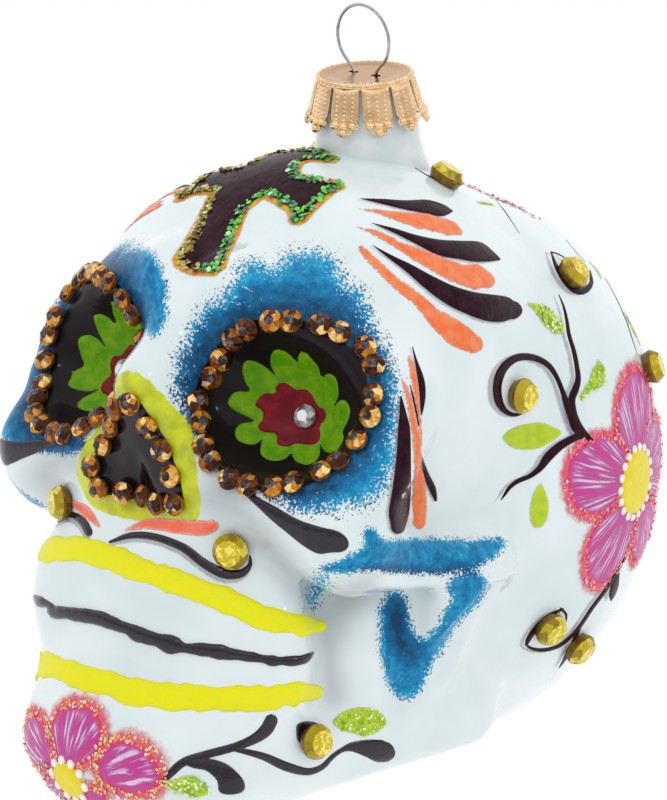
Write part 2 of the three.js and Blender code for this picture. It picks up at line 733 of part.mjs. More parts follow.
function sideStones(side, label) {
  const places = Object.entries(largeStoneShares);
  const single = places.map(([name, shares]) => headStone(name, shares, side, label));
  return [...eyeRing(side, label), eyeCrystal(side, label), ...single, neckStone(side, label)];
}

// The whole ornament, hung from the origin.

const skull = glassSkull();
skull.name = "glass_skull";
const cap = crownCap();
cap.name = "crown_cap";
const hanger = hangerWire();
hanger.name = "hanger_wire";

const neckGroup = new THREE.Group();
neckGroup.applyMatrix4(neckFrame);
neckGroup.add(cap, hanger);

const hookPoint = new THREE.Vector3(0, 0, FIT_GAP + CAP_SHEET + LOOP_HEIGHT - WIRE_DIAMETER);
const ornament = new THREE.Group();
ornament.add(skull, neckGroup, ...noseRing(), ...sideStones(1, "left"), ...sideStones(-1, "right"));
ornament.position.copy(hookPoint.applyMatrix4(neckFrame).negate());

const part = new THREE.Group();
part.add(ornament);

export default part;
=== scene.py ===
"""A painted glass skull ornament: glass, painted and glittered decoration, stones, crown cap and wire.

Lengths are millimetres about the middle of the skull's cranium, the face towards -Y and +Z up. Meshes
are made in metres about the hook point, inside the top of the wire loop.
"""

import logging
import math
from dataclasses import dataclass, field, replace
from enum import Enum
from typing import Any, Callable, Dict, List, Optional, Sequence, Tuple, Union

import bmesh
import bpy
import numpy as np
from mathutils import Matrix, Vector
from mathutils.geometry import delaunay_2d_cdt


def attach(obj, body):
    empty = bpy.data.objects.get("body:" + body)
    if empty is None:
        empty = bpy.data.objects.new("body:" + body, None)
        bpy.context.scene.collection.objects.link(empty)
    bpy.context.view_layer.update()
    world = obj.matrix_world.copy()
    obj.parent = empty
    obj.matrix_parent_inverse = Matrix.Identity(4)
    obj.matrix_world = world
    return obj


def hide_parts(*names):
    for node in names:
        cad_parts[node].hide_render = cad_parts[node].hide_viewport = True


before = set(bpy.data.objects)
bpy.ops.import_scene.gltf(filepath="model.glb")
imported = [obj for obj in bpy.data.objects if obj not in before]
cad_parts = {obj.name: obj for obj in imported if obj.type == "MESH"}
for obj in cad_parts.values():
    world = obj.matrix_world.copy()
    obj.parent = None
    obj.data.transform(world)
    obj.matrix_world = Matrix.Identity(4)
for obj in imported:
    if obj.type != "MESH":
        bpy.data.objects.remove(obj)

LOG = logging.getLogger("skull")
MM_PER_METRE = 1000.0
METRES_PER_MM = 1 / MM_PER_METRE
HOOK_POINT = np.array((0.0, -8.07, 61.173))
TINY = 1e-9
CURVE_STEPS = 24
LEAST_STEPS = 4

Array = np.ndarray
Colour = Tuple[float, float, float]
Places = Sequence[Sequence[float]]


class Side(Enum):
    """A half of the skull: its own left lies at +X."""

    LEFT = 1.0
    RIGHT = -1.0


class Body(Enum):
    """The rigid bodies that pieces ride on."""

    SKULL = "skull"
    CAP = "cap"
    HANGER = "hanger"


def unit(vectors: Array) -> Array:
    """Scale vectors to length one.

    Args:
        vectors: One vector, or rows of vectors.

    Returns:
        The same directions with length one.
    """
    length = np.linalg.norm(vectors, axis=-1, keepdims=True)
    return vectors / np.maximum(length, TINY)


def circle(sides: int, turn: float = 0.0) -> Array:
    """Rows of two coordinates of even places round a circle of radius one, from an angle on."""
    angles = turn + np.arange(sides) * 2 * math.pi / sides
    return np.column_stack((np.cos(angles), np.sin(angles)))


def smooth_path(places: Places, spacing: float) -> Array:
    """Run a smooth curve through places and tell it off evenly.

    Args:
        places: Rows of coordinates; columns past the second, such as a width, follow the curve.
        spacing: Distance between neighbouring points of the result, by the first two columns.

    Returns:
        Rows along the curve.
    """
    knots = np.array(places, dtype=float)
    padded = np.vstack((2 * knots[0] - knots[1], knots, 2 * knots[-1] - knots[-2]))
    dense = []
    steps = np.linspace(0, 1, CURVE_STEPS, endpoint=False)[:, None]
    for a, b, c, d in zip(padded, padded[1:], padded[2:], padded[3:]):
        bend = 2 * b + (c - a) * steps + (2 * a - 5 * b + 4 * c - d) * steps**2
        dense.append((bend + (3 * b - a - 3 * c + d) * steps**3) / 2)
    curve = np.vstack(dense + [knots[-1:]])
    gaps = np.linalg.norm(np.diff(curve[:, :2], axis=0), axis=1)
    reached = np.concatenate(([0.0], np.cumsum(gaps)))
    count = max(int(reached[-1] / spacing), LEAST_STEPS) + 1
    wanted = np.linspace(0, reached[-1], count)
    return np.stack([np.interp(wanted, reached, column) for column in curve.T], axis=1)


def closed_path(places: Places, spacing: float) -> Array:
    """Run a smooth closed curve through places.

    Args:
        places: Rows of coordinates round the curve, the first one not repeated.
        spacing: Distance between neighbouring points of the result.

    Returns:
        Rows round the curve, the first one not repeated.
    """
    ring = list(places)
    whole = smooth_path(ring[-2:] + ring + ring[:3], spacing)
    away = np.linalg.norm(whole - np.array(ring[0], dtype=float), axis=1)
    half = len(whole) // 2
    return whole[np.argmin(away[:half]) : half + np.argmin(away[half:])]


@dataclass(frozen=True)
class HeadSizes:
    """Overall sizes of the glass head."""

    width: float = 63.0
    length: float = 100.0
    height: float = 88.0
    midline_rounding: float = 1.0

    def place(self, shares: Sequence[float]) -> Array:
        """Turn shares of the head's width, length and height into a point."""
        return np.array(shares) * np.array((self.width, self.length, self.height))


@dataclass(frozen=True)
class Lobe:
    """An egg-shaped form of the head, in shares of the head's sizes."""

    at: Sequence[float]
    reach: Sequence[float]
    blend: float

    def depth(self, points: Array, sizes: HeadSizes) -> Array:
        """How far points lie outside the form, negative inside it.

        Args:
            points: Rows of points.
            sizes: The head's sizes.

        Returns:
            One distance for each point.
        """
        return lobe_depth(points - sizes.place(self.at), sizes.place(self.reach))


@dataclass(frozen=True)
class Bar:
    """A bar of the head between two points, in shares of the head's sizes."""

    start: Sequence[float]
    end: Sequence[float]
    radii: Tuple[float, float]
    blend: float

    def depth(self, points: Array, sizes: HeadSizes) -> Array:
        """How far points lie outside the form, negative inside it.

        Args:
            points: Rows of points.
            sizes: The head's sizes.

        Returns:
            One distance for each point.
        """
        thick, thin = (share * sizes.width for share in self.radii)
        return bar_depth(points, sizes.place(self.start), sizes.place(self.end), thick, thin)


def lobe_depth(offsets: Array, reach: Array) -> Array:
    """Distance from an ellipsoid's surface, by offsets from its middle.

    Args:
        offsets: Rows of offsets from the middle.
        reach: Half sizes along X, Y and Z.

    Returns:
        One distance for each offset, negative inside.
    """
    near = offsets / reach
    size = np.linalg.norm(near, axis=1)
    steep = np.linalg.norm(near / reach, axis=1)
    return size * (size - 1) / np.maximum(steep, TINY)


def bar_depth(points: Array, start: Array, end: Array, start_radius: float, end_radius: float) -> Array:
    """Distance from a round bar whose radius changes evenly.

    Args:
        points: Rows of points.
        start: Middle of the first end.
        end: Middle of the other end.
        start_radius: Radius at the first end.
        end_radius: Radius at the other end.

    Returns:
        One distance for each point, negative inside.
    """
    along = end - start
    share = np.clip((points - start) @ along / (along @ along), 0, 1)
    radius = start_radius + (end_radius - start_radius) * share
    return np.linalg.norm(points - start - share[:, None] * along, axis=1) - radius


def blended_lower(a: Array, b: Array, width: float) -> Array:
    """The lower of two fields, blended over a width where they meet."""
    overlap = np.maximum(width - np.abs(a - b), 0)
    return np.minimum(a, b) - overlap**2 / (4 * max(width, TINY))


def blended_upper(a: Array, b: Array, width: float) -> Array:
    """The higher of two fields, blended over a width where they meet."""
    return -blended_lower(-a, -b, width)


@dataclass(frozen=True)
class SocketSizes:
    """One eye socket, on the side of +X."""

    spacing: float = 34.8
    rise: float = 17.8
    forward: float = 44.6
    width: float = 22.0
    height: float = 18.4
    depth: float = 9.0
    rounding: float = 2.0
    droop: float = math.radians(12)
    turn: float = math.radians(12)

    @property
    def middle(self) -> Array:
        """The socket's middle."""
        return np.array((self.spacing / 2, -self.forward, self.rise))

    @property
    def axes(self) -> Array:
        """The socket's own X, Y and Z directions, as columns."""
        cy, sy, cz, sz = math.cos(self.droop), math.sin(self.droop), math.cos(self.turn), math.sin(self.turn)
        about_y = np.array(((cy, 0, sy), (0, 1, 0), (-sy, 0, cy)))
        about_z = np.array(((cz, -sz, 0), (sz, cz, 0), (0, 0, 1)))
        return about_y @ about_z

    def local(self, points: Array) -> Array:
        """Points in the socket's own directions, about its middle."""
        return (points - self.middle) @ self.axes


@dataclass(frozen=True)
class NoseSizes:
    """The nose hollow and the ring of stones round it."""

    forward: float = 54.4
    top_rise: float = 14.2
    foot_rise: float = 8.0
    foot_spread: float = 4.2
    top_radius: float = 2.2
    foot_radius: float = 3.4
    rounding: float = 1.2
    ring_top_rise: float = 18.6
    ring_foot_rise: float = 3.8
    ring_foot_spread: float = 9.0
    ring_corner: float = 3.8
    corner_steps: int = 16

    def depth(self, points: Array) -> Array:
        """How far points lie outside the hollow's bar, for X over zero."""
        top = np.array((0, -self.forward, self.top_rise))
        foot = np.array((self.foot_spread, -self.forward, self.foot_rise))
        return bar_depth(points, top, foot, self.top_radius, self.foot_radius)

    def ring_outline(self) -> Array:
        """The stones' triangle with rounded corners, as rows of X and Z."""
        top, foot = self.ring_top_rise, self.ring_foot_rise
        spread, corner = self.ring_foot_spread, self.ring_corner
        slope = unit(np.array((spread, foot - top))) * corner
        steps = np.linspace(0, 1, self.corner_steps)[:, None]

        def rounded(a: Sequence[float], b: Sequence[float], c: Sequence[float]) -> Array:
            """A curve from a to c that is drawn towards b."""
            a, b, c = (np.array(p, dtype=float) for p in (a, b, c))
            return (1 - steps) ** 2 * a + 2 * steps * (1 - steps) * b + steps**2 * c

        right = rounded((spread - slope[0], foot - slope[1]), (spread, foot), (spread - corner, foot))
        left = rounded((corner - spread, foot), (-spread, foot), (slope[0] - spread, foot - slope[1]))
        crown = rounded((-slope[0], top + slope[1]), (0, top), (slope[0], top + slope[1]))
        return np.vstack((right, left, crown))


@dataclass(frozen=True)
class Groove:
    """A groove beside the jaw's branch, in shares of the head's sizes."""

    start: Sequence[float]
    end: Sequence[float]
    radius: float = 2.6
    rounding: float = 3.0


FORMS = (
    Lobe((0, 0.01, 0.01), (0.5, 0.375, 0.39), 0),
    Lobe((0, 0.05, -0.145), (0.41, 0.3, 0.338), 0.22),
    Bar((0, -0.195, 0.218), (0.21, -0.21, 0.232), (0.282, 0.262), 0.16),
    Lobe((0, -0.125, 0.2), (0.365, 0.215, 0.274), 0.16),
    Bar((0.1, -0.375, 0.33), (0.305, -0.36, 0.255), (0.07, 0.05), 0.13),
    Bar((0.455, -0.325, 0.207), (0.46, -0.358, 0.135), (0.066, 0.062), 0.095),
    Bar((0, -0.395, 0.278), (0, -0.47, 0.205), (0.067, 0.073), 0.13),
    Bar((0, -0.455, 0.16), (0.095, -0.45, 0.06), (0.09, 0.098), 0.095),
    Lobe((0, -0.25, 0.045), (0.385, 0.14, 0.235), 0.13),
    Lobe((0, -0.27, 0.16), (0.465, 0.12, 0.17), 0.13),
    Bar((0.215, -0.428, 0.06), (0.4, -0.413, 0.04), (0.106, 0.114), 0.11),
    Bar((0.42, -0.39, -0.026), (0.48, -0.17, -0.083), (0.054, 0.046), 0.11),
    Lobe((0, -0.452, -0.172), (0.37, 0.103, 0.21), 0.08),
    Lobe((0, -0.52, -0.352), (0.3, 0.085, 0.12), 0.12),
    Bar((0.245, -0.383, -0.338), (0.365, -0.143, -0.338), (0.105, 0.075), 0.13),
    Lobe((0, -0.38, -0.32), (0.25, 0.17, 0.13), 0.1),
    Lobe((0, -0.24, -0.196), (0.44, 0.184, 0.182), 0.1),
    Bar((0.445, -0.21, -0.125), (0.43, -0.24, -0.227), (0.052, 0.03), 0.08),
)
GROOVES = (
    Groove((0.408, -0.293, -0.108), (0.433, -0.29, -0.256)),
    Groove((0.494, -0.18, -0.134), (0.457, -0.267, -0.261)),
)


class SkullField:
    """The head's smooth surface, as a field that is zero on the glass and negative inside it."""

    SLOPE_STEP = 0.02
    LEAST_STEEPNESS = 0.3
    STRIDE_SHARE = 0.75
    STRIDES = (-4, 60)
    SEARCH_STEP = 2.0
    LAY_ROUNDS = 3

    def __init__(self, sizes: HeadSizes, socket: SocketSizes, nose: NoseSizes) -> None:
        """Keep the sizes that the field is made of.

        Args:
            sizes: The head's overall sizes.
            socket: The eye socket's sizes.
            nose: The nose hollow's sizes.
        """
        self.sizes = sizes
        self.socket = socket
        self.nose = nose

    def mirrored(self, points: Array) -> Array:
        """Points with X made positive, softly at the midline."""
        across = np.hypot(points[:, 0], self.sizes.midline_rounding)
        return np.column_stack((across, points[:, 1:]))

    def face(self, points: Array) -> Array:
        """The head's field before its sockets, nose and grooves are pressed in."""
        near = self.mirrored(points)
        depth = FORMS[0].depth(near, self.sizes)
        for form in FORMS[1:]:
            depth = blended_lower(depth, form.depth(near, self.sizes), form.blend * self.sizes.width)
        return depth

    def skin(self, points: Array) -> Array:
        """The finished head's field."""
        near = self.mirrored(points)
        socket = self.socket
        reach = np.array((socket.width / 2, socket.depth, socket.height / 2))
        depth = blended_upper(self.face(points), -lobe_depth(socket.local(near), reach), socket.rounding)
        depth = blended_upper(depth, -self.nose.depth(near), self.nose.rounding)
        for groove in GROOVES:
            start, end = self.sizes.place(groove.start), self.sizes.place(groove.end)
            cut = bar_depth(near, start, end, groove.radius, groove.radius)
            depth = blended_upper(depth, -cut, groove.rounding)
        return depth

    def slope(self, points: Array) -> Array:
        """The field's gradient at points."""
        shifts = np.eye(3) * self.SLOPE_STEP
        rises = [self.skin(points + shift) - self.skin(points - shift) for shift in shifts]
        return np.stack(rises, axis=1) / (2 * self.SLOPE_STEP)

    def normals(self, points: Array) -> Array:
        """Outward directions of the field, of length one."""
        return unit(self.slope(points))

    def pulled(self, points: Array) -> Array:
        """Points moved one step straight towards the glass."""
        slope = self.slope(points)
        steep = np.maximum((slope**2).sum(axis=1), self.LEAST_STEEPNESS)
        return points - slope * (self.skin(points) / steep)[:, None]

    def cast(self, origins: Array, directions: Array, rounds: int = 70) -> Array:
        """Walk from points outside the head along directions until they meet it.

        Args:
            origins: Rows of starting points.
            directions: Rows of directions of length one.
            rounds: How many steps to take.

        Returns:
            Rows of points on the surface.
        """
        points = np.array(origins, dtype=float)
        for _ in range(rounds):
            stride = np.clip(self.STRIDE_SHARE * self.skin(points), *self.STRIDES)
            points = points + directions * stride[:, None]
        return points

    def nearest(self, origins: Array, directions: Array) -> Array:
        """Points of lines that come nearest to the glass.

        Args:
            origins: Rows of the lines' starting points.
            directions: Rows of their directions.

        Returns:
            One point for each line.
        """
        reach = np.arange(0.0, 2 * self.sizes.length, self.SEARCH_STEP)
        lines = origins[:, None] + directions[:, None] * reach[:, None]
        depth = self.skin(lines.reshape(-1, 3)).reshape(len(origins), -1)
        return lines[np.arange(len(lines)), depth.argmin(axis=1)]

    def lay(self, points: Array, rise: Union[float, Array] = 0.0) -> Tuple[Array, Array]:
        """Move points straight onto the glass and lift them off it.

        Args:
            points: Rows of points near the glass.
            rise: How far above the glass they end, one value or one for each.

        Returns:
            The points and the glass's outward directions there.
        """
        for _ in range(self.LAY_ROUNDS):
            points = self.pulled(points)
        normals = self.normals(points)
        return points + normals * np.broadcast_to(rise, len(points))[:, None], normals


@dataclass(frozen=True)
class PhotoView:
    """The viewpoint of the picture, in which most of the paintwork is laid out."""

    azimuth: float = math.radians(42)
    elevation: float = math.radians(16)
    distance: float = 550.0
    pixels_per_mm: float = 7.3
    width_pixels: float = 667.0
    height_pixels: float = 800.0
    head_column: float = 400.0
    head_row: float = 440.0
    sensor: float = 36.0

    @property
    def right(self) -> Array:
        """The direction to the right in the picture."""
        return np.array((math.cos(self.azimuth), math.sin(self.azimuth), 0))

    @property
    def back(self) -> Array:
        """The direction from the object to the camera."""
        level = math.cos(self.elevation)
        return np.array(
            (math.sin(self.azimuth) * level, -math.cos(self.azimuth) * level, math.sin(self.elevation))
        )

    @property
    def up(self) -> Array:
        """The upward direction in the picture."""
        return np.cross(self.back, self.right)

    @property
    def middle(self) -> Array:
        """The picture's middle, as a column and a row."""
        return np.array((self.width_pixels / 2, self.height_pixels / 2))

    @property
    def distance_pixels(self) -> float:
        """The camera's distance, in the picture's pixels."""
        return self.pixels_per_mm * self.distance

    @property
    def eye(self) -> Array:
        """The camera's place."""
        column, row = np.array((self.head_column, self.head_row)) - self.middle
        target = (row * self.up - column * self.right) / self.pixels_per_mm
        return target + self.distance * self.back

    def rays(self, pixels: Array) -> Array:
        """Directions of length one from the camera through pixels."""
        offset = (np.array(pixels, dtype=float)[:, :2] - self.middle) / self.distance_pixels
        return unit(offset[:, :1] * self.right - offset[:, 1:] * self.up - self.back)

    def pixels(self, points: Array) -> Array:
        """Columns and rows at which points are seen."""
        seen = points - self.eye
        ahead = -(seen @ self.back) / self.distance_pixels
        return self.middle + np.column_stack((seen @ self.right, -(seen @ self.up))) / ahead[:, None]


Values = Dict[str, Array]
Y_WAY = np.array((0.0, 1.0, 0.0))
Z_WAY = np.array((0.0, 0.0, 1.0))


@dataclass
class Shell:
    """A mesh in the making: points, faces, and values told on the points or on the faces."""

    points: Array
    faces: List[Sequence[int]]
    spots: Values = field(default_factory=dict)
    facets: Values = field(default_factory=dict)

    def mirrored(self) -> "Shell":
        """The same shell on the head's other side."""
        faces = [tuple(reversed(face)) for face in self.faces]
        return Shell(self.points * np.array((-1, 1, 1)), faces, self.spots, self.facets)

    def turned(self, axes: Array, middle: Array) -> "Shell":
        """The same shell with its axes along the columns of a matrix, about a new middle."""
        return Shell(self.points @ axes.T + middle, self.faces, self.spots, self.facets)


def joined(shells: Sequence[Shell]) -> Shell:
    """Put several shells that tell the same values into one.

    Args:
        shells: The shells.

    Returns:
        One shell with all their points and faces.
    """
    faces: List[Sequence[int]] = []
    start = 0
    for shell in shells:
        faces += [tuple(corner + start for corner in face) for face in shell.faces]
        start += len(shell.points)
    spots = {word: np.concatenate([shell.spots[word] for shell in shells]) for word in shells[0].spots}
    facets = {word: np.concatenate([shell.facets[word] for shell in shells]) for word in shells[0].facets}
    return Shell(np.vstack([shell.points for shell in shells]), faces, spots, facets)


def make_piece(
    name: str, shell: Shell, material: bpy.types.Material, body: Body, smooth: bool = True
) -> bpy.types.Object:
    """Turn a shell into an object that rides on a body.

    Args:
        name: The object's name.
        shell: Its mesh, in millimetres about the cranium's middle.
        material: Its finish.
        body: The rigid body that it moves with.
        smooth: Whether its faces are shaded as one rounded surface.

    Returns:
        The object.
    """
    mesh = bpy.data.meshes.new(name)
    mesh.from_pydata(((shell.points - HOOK_POINT) * METRES_PER_MM).tolist(), [], shell.faces)
    for domain, values in (("POINT", shell.spots), ("FACE", shell.facets)):
        for word, told in values.items():
            mesh.attributes.new(word, "FLOAT", domain)
            mesh.attributes[word].data.foreach_set("value", np.asarray(told, dtype=np.float32))
    mesh.polygons.foreach_set("use_smooth", [smooth] * len(mesh.polygons))
    mesh.materials.append(material)
    piece = bpy.data.objects.new(name, mesh)
    bpy.context.scene.collection.objects.link(piece)
    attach(piece, body.value)
    LOG.info("%s: %d faces", name, len(mesh.polygons))
    return piece


class Outline:
    """A closed outline drawn on a surface."""

    INSET_SHARE = 0.7
    GROWN_SHARE = 0.85
    ROW_SHARE = 0.87
    TRIES = 12

    def __init__(self, rows: Array) -> None:
        """Keep the outline's rows of two coordinates, the first one not repeated."""
        self.rows = np.array(rows, dtype=float)

    def holds(self, places: Array) -> Array:
        """Tell which places lie inside.

        Args:
            places: Rows of two coordinates.

        Returns:
            True or False for each place.
        """
        across, up = places[:, :1], places[:, 1:]
        start, end = self.rows.T, np.roll(self.rows, -1, axis=0).T
        straddles = (start[1] > up) != (end[1] > up)
        run = np.where(end[1] == start[1], TINY, end[1] - start[1])
        meets = across < start[0] + (end[0] - start[0]) * (up - start[1]) / run
        return (straddles & meets).sum(axis=1) % 2 == 1

    def depth(self, places: Array) -> Array:
        """How deep places lie inside the outline, negative outside it.

        Args:
            places: Rows of two coordinates.

        Returns:
            One distance for each place.
        """
        along = np.roll(self.rows, -1, axis=0) - self.rows
        nearest = np.full(len(places), np.inf)
        for start, edge in zip(self.rows, along):
            offset = places - start
            share = np.clip(offset @ edge / max(edge @ edge, TINY), 0, 1)
            nearest = np.minimum(nearest, ((offset - share[:, None] * edge) ** 2).sum(axis=1))
        return np.sqrt(nearest) * np.where(self.holds(places), 1, -1)

    def moved_in(self, distance: float) -> Array:
        """The rows moved inwards, or outwards by a negative distance."""
        ahead = np.roll(self.rows, -1, axis=0) - np.roll(self.rows, 1, axis=0)
        inwards = unit(np.column_stack((-ahead[:, 1], ahead[:, 0])))
        moved = self.rows + inwards * distance
        if self.depth(moved).mean() * distance < 0:
            moved = self.rows - inwards * distance
        return moved

    def inset(self, distance: float) -> Array:
        """Rows moved inwards, without those that come too near another edge."""
        moved = self.moved_in(distance)
        return moved[self.depth(moved) > self.INSET_SHARE * distance]

    def grown(self, distance: float) -> "Outline":
        """An outline that lies outside this one, without rows that come too near its edge."""
        moved = self.moved_in(-distance)
        return Outline(moved[self.depth(moved) < -self.GROWN_SHARE * distance])

    def box(self) -> Tuple[Array, Array]:
        """The lowest and the highest coordinates."""
        return self.rows.min(axis=0), self.rows.max(axis=0)

    def grid(self, step: float, depth: float) -> Array:
        """Even places inside the outline.

        Args:
            step: Distance between neighbouring places.
            depth: How deep inside the outline they are at least.

        Returns:
            Rows of places.
        """
        low, high = self.box()
        levels = np.arange(low[1], high[1], step * self.ROW_SHARE)
        columns, rows = np.meshgrid(np.arange(low[0], high[0], step), levels)
        columns[1::2] += step / 2
        places = np.column_stack((columns.ravel(), rows.ravel()))
        return places[self.depth(places) > depth]

    def strewn(self, amount: int, least: float, most: float, seed: int) -> Array:
        """Random places between two depths inside the outline.

        Args:
            amount: How many places to try for.
            least: The lowest depth.
            most: The highest depth.
            seed: Where the random numbers start.

        Returns:
            Rows of places.
        """
        chance = np.random.default_rng(seed)
        low, high = self.box()
        reach = max(-least, 0)
        places = chance.uniform(low - reach, high + reach, (amount * self.TRIES, 2))
        depth = self.depth(places)
        return places[(depth > least) & (depth < most)][:amount]


class Surface:
    """The glass, with places on it told by two coordinates."""

    LOST = 0.2

    def __init__(self, skull: SkullField, grain: float) -> None:
        """Keep the glass's shape and how many of the coordinates' units make a millimetre."""
        self.skull = skull
        self.grain = grain

    def sight(self, places: Array) -> Tuple[Array, Array]:
        """Points off the glass and the directions in which they are laid onto it."""
        raise NotImplementedError

    def onto(self, places: Array, rise: Union[float, Array] = 0.0) -> Tuple[Array, Array]:
        """Points on the glass, or above it, and its outward directions there.

        Args:
            places: Rows of two coordinates.
            rise: How far above the glass, in millimetres.

        Returns:
            Rows of points and rows of directions.
        """
        origins, directions = self.sight(places)
        points = self.skull.cast(origins, directions)
        lost = np.abs(self.skull.skin(points)) > self.LOST
        if lost.any():
            points[lost] = self.skull.nearest(origins[lost], directions[lost])
        return self.skull.lay(points, rise)


class PictureSurface(Surface):
    """The glass as the picture shows it: places are pixels."""

    def __init__(self, skull: SkullField, view: PhotoView) -> None:
        """Keep the glass's shape and the viewpoint."""
        super().__init__(skull, view.pixels_per_mm)
        self.view = view

    def sight(self, places: Array) -> Tuple[Array, Array]:
        """Points in front of the glass along the lines of sight."""
        directions = self.view.rays(places)
        start = self.view.distance - self.skull.sizes.length
        return self.view.eye + directions * start, directions


class SpotSurface(Surface):
    """The glass about a point on it: places are millimetres to the right and up, seen from outside."""

    HEIGHT = 6.0

    def __init__(self, skull: SkullField, middle: Array) -> None:
        """Stand square to the glass at a point near it, with +Z for up."""
        super().__init__(skull, 1.0)
        points, normals = skull.lay(np.array([middle], dtype=float))
        self.middle, self.axis = points[0], normals[0]
        self.right = unit(np.cross(Z_WAY, self.axis))
        self.up = np.cross(self.axis, self.right)

    def sight(self, places: Array) -> Tuple[Array, Array]:
        """Points above the glass, looking straight down on it."""
        flat = places[:, :1] * self.right + places[:, 1:2] * self.up
        origins = self.middle + flat + self.HEIGHT * self.axis
        return origins, np.broadcast_to(-self.axis, origins.shape)


@dataclass(frozen=True)
class Laying:
    """How a coat of paint lies on the glass, in millimetres."""

    step: float = 0.6
    rise: float = 0.14
    roll: float = 0.3
    sink: float = 0.06
    ragged: float = 0.0

    def height(self, depth: Array) -> Array:
        """The coat's height above the glass at depths inside its edge.

        Args:
            depth: Distances from the edge.

        Returns:
            One height for each distance.
        """
        left = 1 - np.clip(depth / self.roll, 0, 1)
        return (self.rise + self.sink) * np.sqrt(1 - left**2) - self.sink


def facing_out(shell: Shell, outward: Array) -> Shell:
    """Turn a shell's faces over where they look into the glass.

    Args:
        shell: The shell.
        outward: The outward direction at each point.

    Returns:
        The shell with its faces outwards.
    """
    faces = []
    for face in shell.faces:
        a, b, c = shell.points[list(face[:3])]
        out = np.cross(b - a, c - a) @ outward[face[0]] > 0
        faces.append(tuple(face) if out else tuple(reversed(face)))
    return Shell(shell.points, faces, shell.spots, shell.facets)


ROLL_SHARES = (0.3, 1.0)
SAME_PLACE = 1e-4


def patch(
    surface: Surface, outline: Outline, laying: Laying, tell: Optional[Callable[[Array], Values]] = None
) -> Shell:
    """Lay a coat inside an outline, with a rolled edge.

    Args:
        surface: The surface that the outline is drawn on.
        outline: The coat's edge.
        laying: How the coat lies.
        tell: Values to tell at the coat's places.

    Returns:
        The coat, which tells its depth inside the edge as "edge".
    """
    grain = surface.grain
    rolls = [outline.inset(share * laying.roll * grain) for share in ROLL_SHARES]
    inner = outline.grid(laying.step * grain, (laying.roll + laying.step / 2) * grain)
    places = np.vstack((outline.rows, *rolls, inner))
    rim = list(range(len(outline.rows)))
    made = delaunay_2d_cdt([Vector(place) for place in places], [], [rim], 1, SAME_PLACE)
    places = np.array([tuple(place) for place in made[0]])
    depth = np.maximum(outline.depth(places), 0) / grain
    points, normals = surface.onto(places, laying.height(depth))
    spots = {"edge": depth}
    spots.update(tell(places) if tell else {})
    return facing_out(Shell(points, [tuple(face) for face in made[2]], spots), normals)


END_SHARES = np.array((0.25, 0.5, 0.75, 0.95))


def with_round_ends(path: Array) -> Array:
    """Lengthen a stroke's path so that its ends close in half circles.

    Args:
        path: Rows of two coordinates and a width.

    Returns:
        The rows with more rows at both ends.
    """
    ends = []
    for here, before in ((path[0], path[1]), (path[-1], path[-2])):
        away = unit(here[:2] - before[:2]) * (here[2] / 2)
        widths = here[2] * np.sqrt(1 - END_SHARES**2)
        ends.append(np.column_stack((here[:2] + away * END_SHARES[:, None], widths)))
    return np.vstack((ends[0][::-1], path, ends[1]))


RIBBON_COLUMNS = 7
RIBBON_STEEPNESS = 0.5
RIBBON_EDGE = 0.999


def ribbon(surface: Surface, places: Places, laying: Laying) -> Shell:
    """Lay a rounded stroke of paint along a path.

    Args:
        surface: The surface that the path is drawn on.
        places: Rows of two coordinates and a width.
        laying: How the stroke lies; its rise is less where the stroke is thin, and its edges are ragged.

    Returns:
        The stroke, which tells its depth inside its edges as "edge".
    """
    path = with_round_ends(smooth_path(places, laying.step * surface.grain))
    ahead = unit(np.gradient(path[:, :2], axis=0))
    side = np.column_stack((-ahead[:, 1], ahead[:, 0]))
    share = np.sin(np.linspace(-math.pi / 2, math.pi / 2, RIBBON_COLUMNS))
    half = path[:, 2] / 2
    wander = np.random.default_rng(len(path)).normal(0, laying.ragged * surface.grain, (len(path) + 2, 2))
    wander = (wander[:-2] + 2 * wander[1:-1] + wander[2:]) / 4 * np.minimum(half / surface.grain, 1)[:, None]
    offset = half[:, None] * share + wander[:, (share > 0).astype(int)] * share
    flat = path[:, None, :2] + offset[..., None] * side[:, None]
    edge = half[:, None] * (1 - np.abs(share)) / surface.grain
    crest = np.minimum(laying.rise, half / surface.grain * RIBBON_STEEPNESS)
    sunk = laying.sink * (np.abs(share) > RIBBON_EDGE)
    rise = crest[:, None] * np.sqrt(1 - share**2) - sunk
    points, normals = surface.onto(flat.reshape(-1, 2), rise.ravel())
    faces = net_faces(len(path), RIBBON_COLUMNS)
    return facing_out(Shell(points, faces, {"edge": edge.ravel()}), normals)


def net_faces(rows: int, columns: int, closed: bool = False) -> List[Sequence[int]]:
    """Faces of a net of points that is told row by row.

    Args:
        rows: How many rows there are.
        columns: How many points a row has.
        closed: Whether each row goes round and meets its own start.

    Returns:
        Four corners for each face.
    """
    across = columns if closed else columns - 1
    faces = []
    for row in range(rows - 1):
        for column in range(across):
            a, b = row * columns + column, row * columns + (column + 1) % columns
            faces.append((a, b, b + columns, a + columns))
    return faces


FLAKE_SIDES = 6


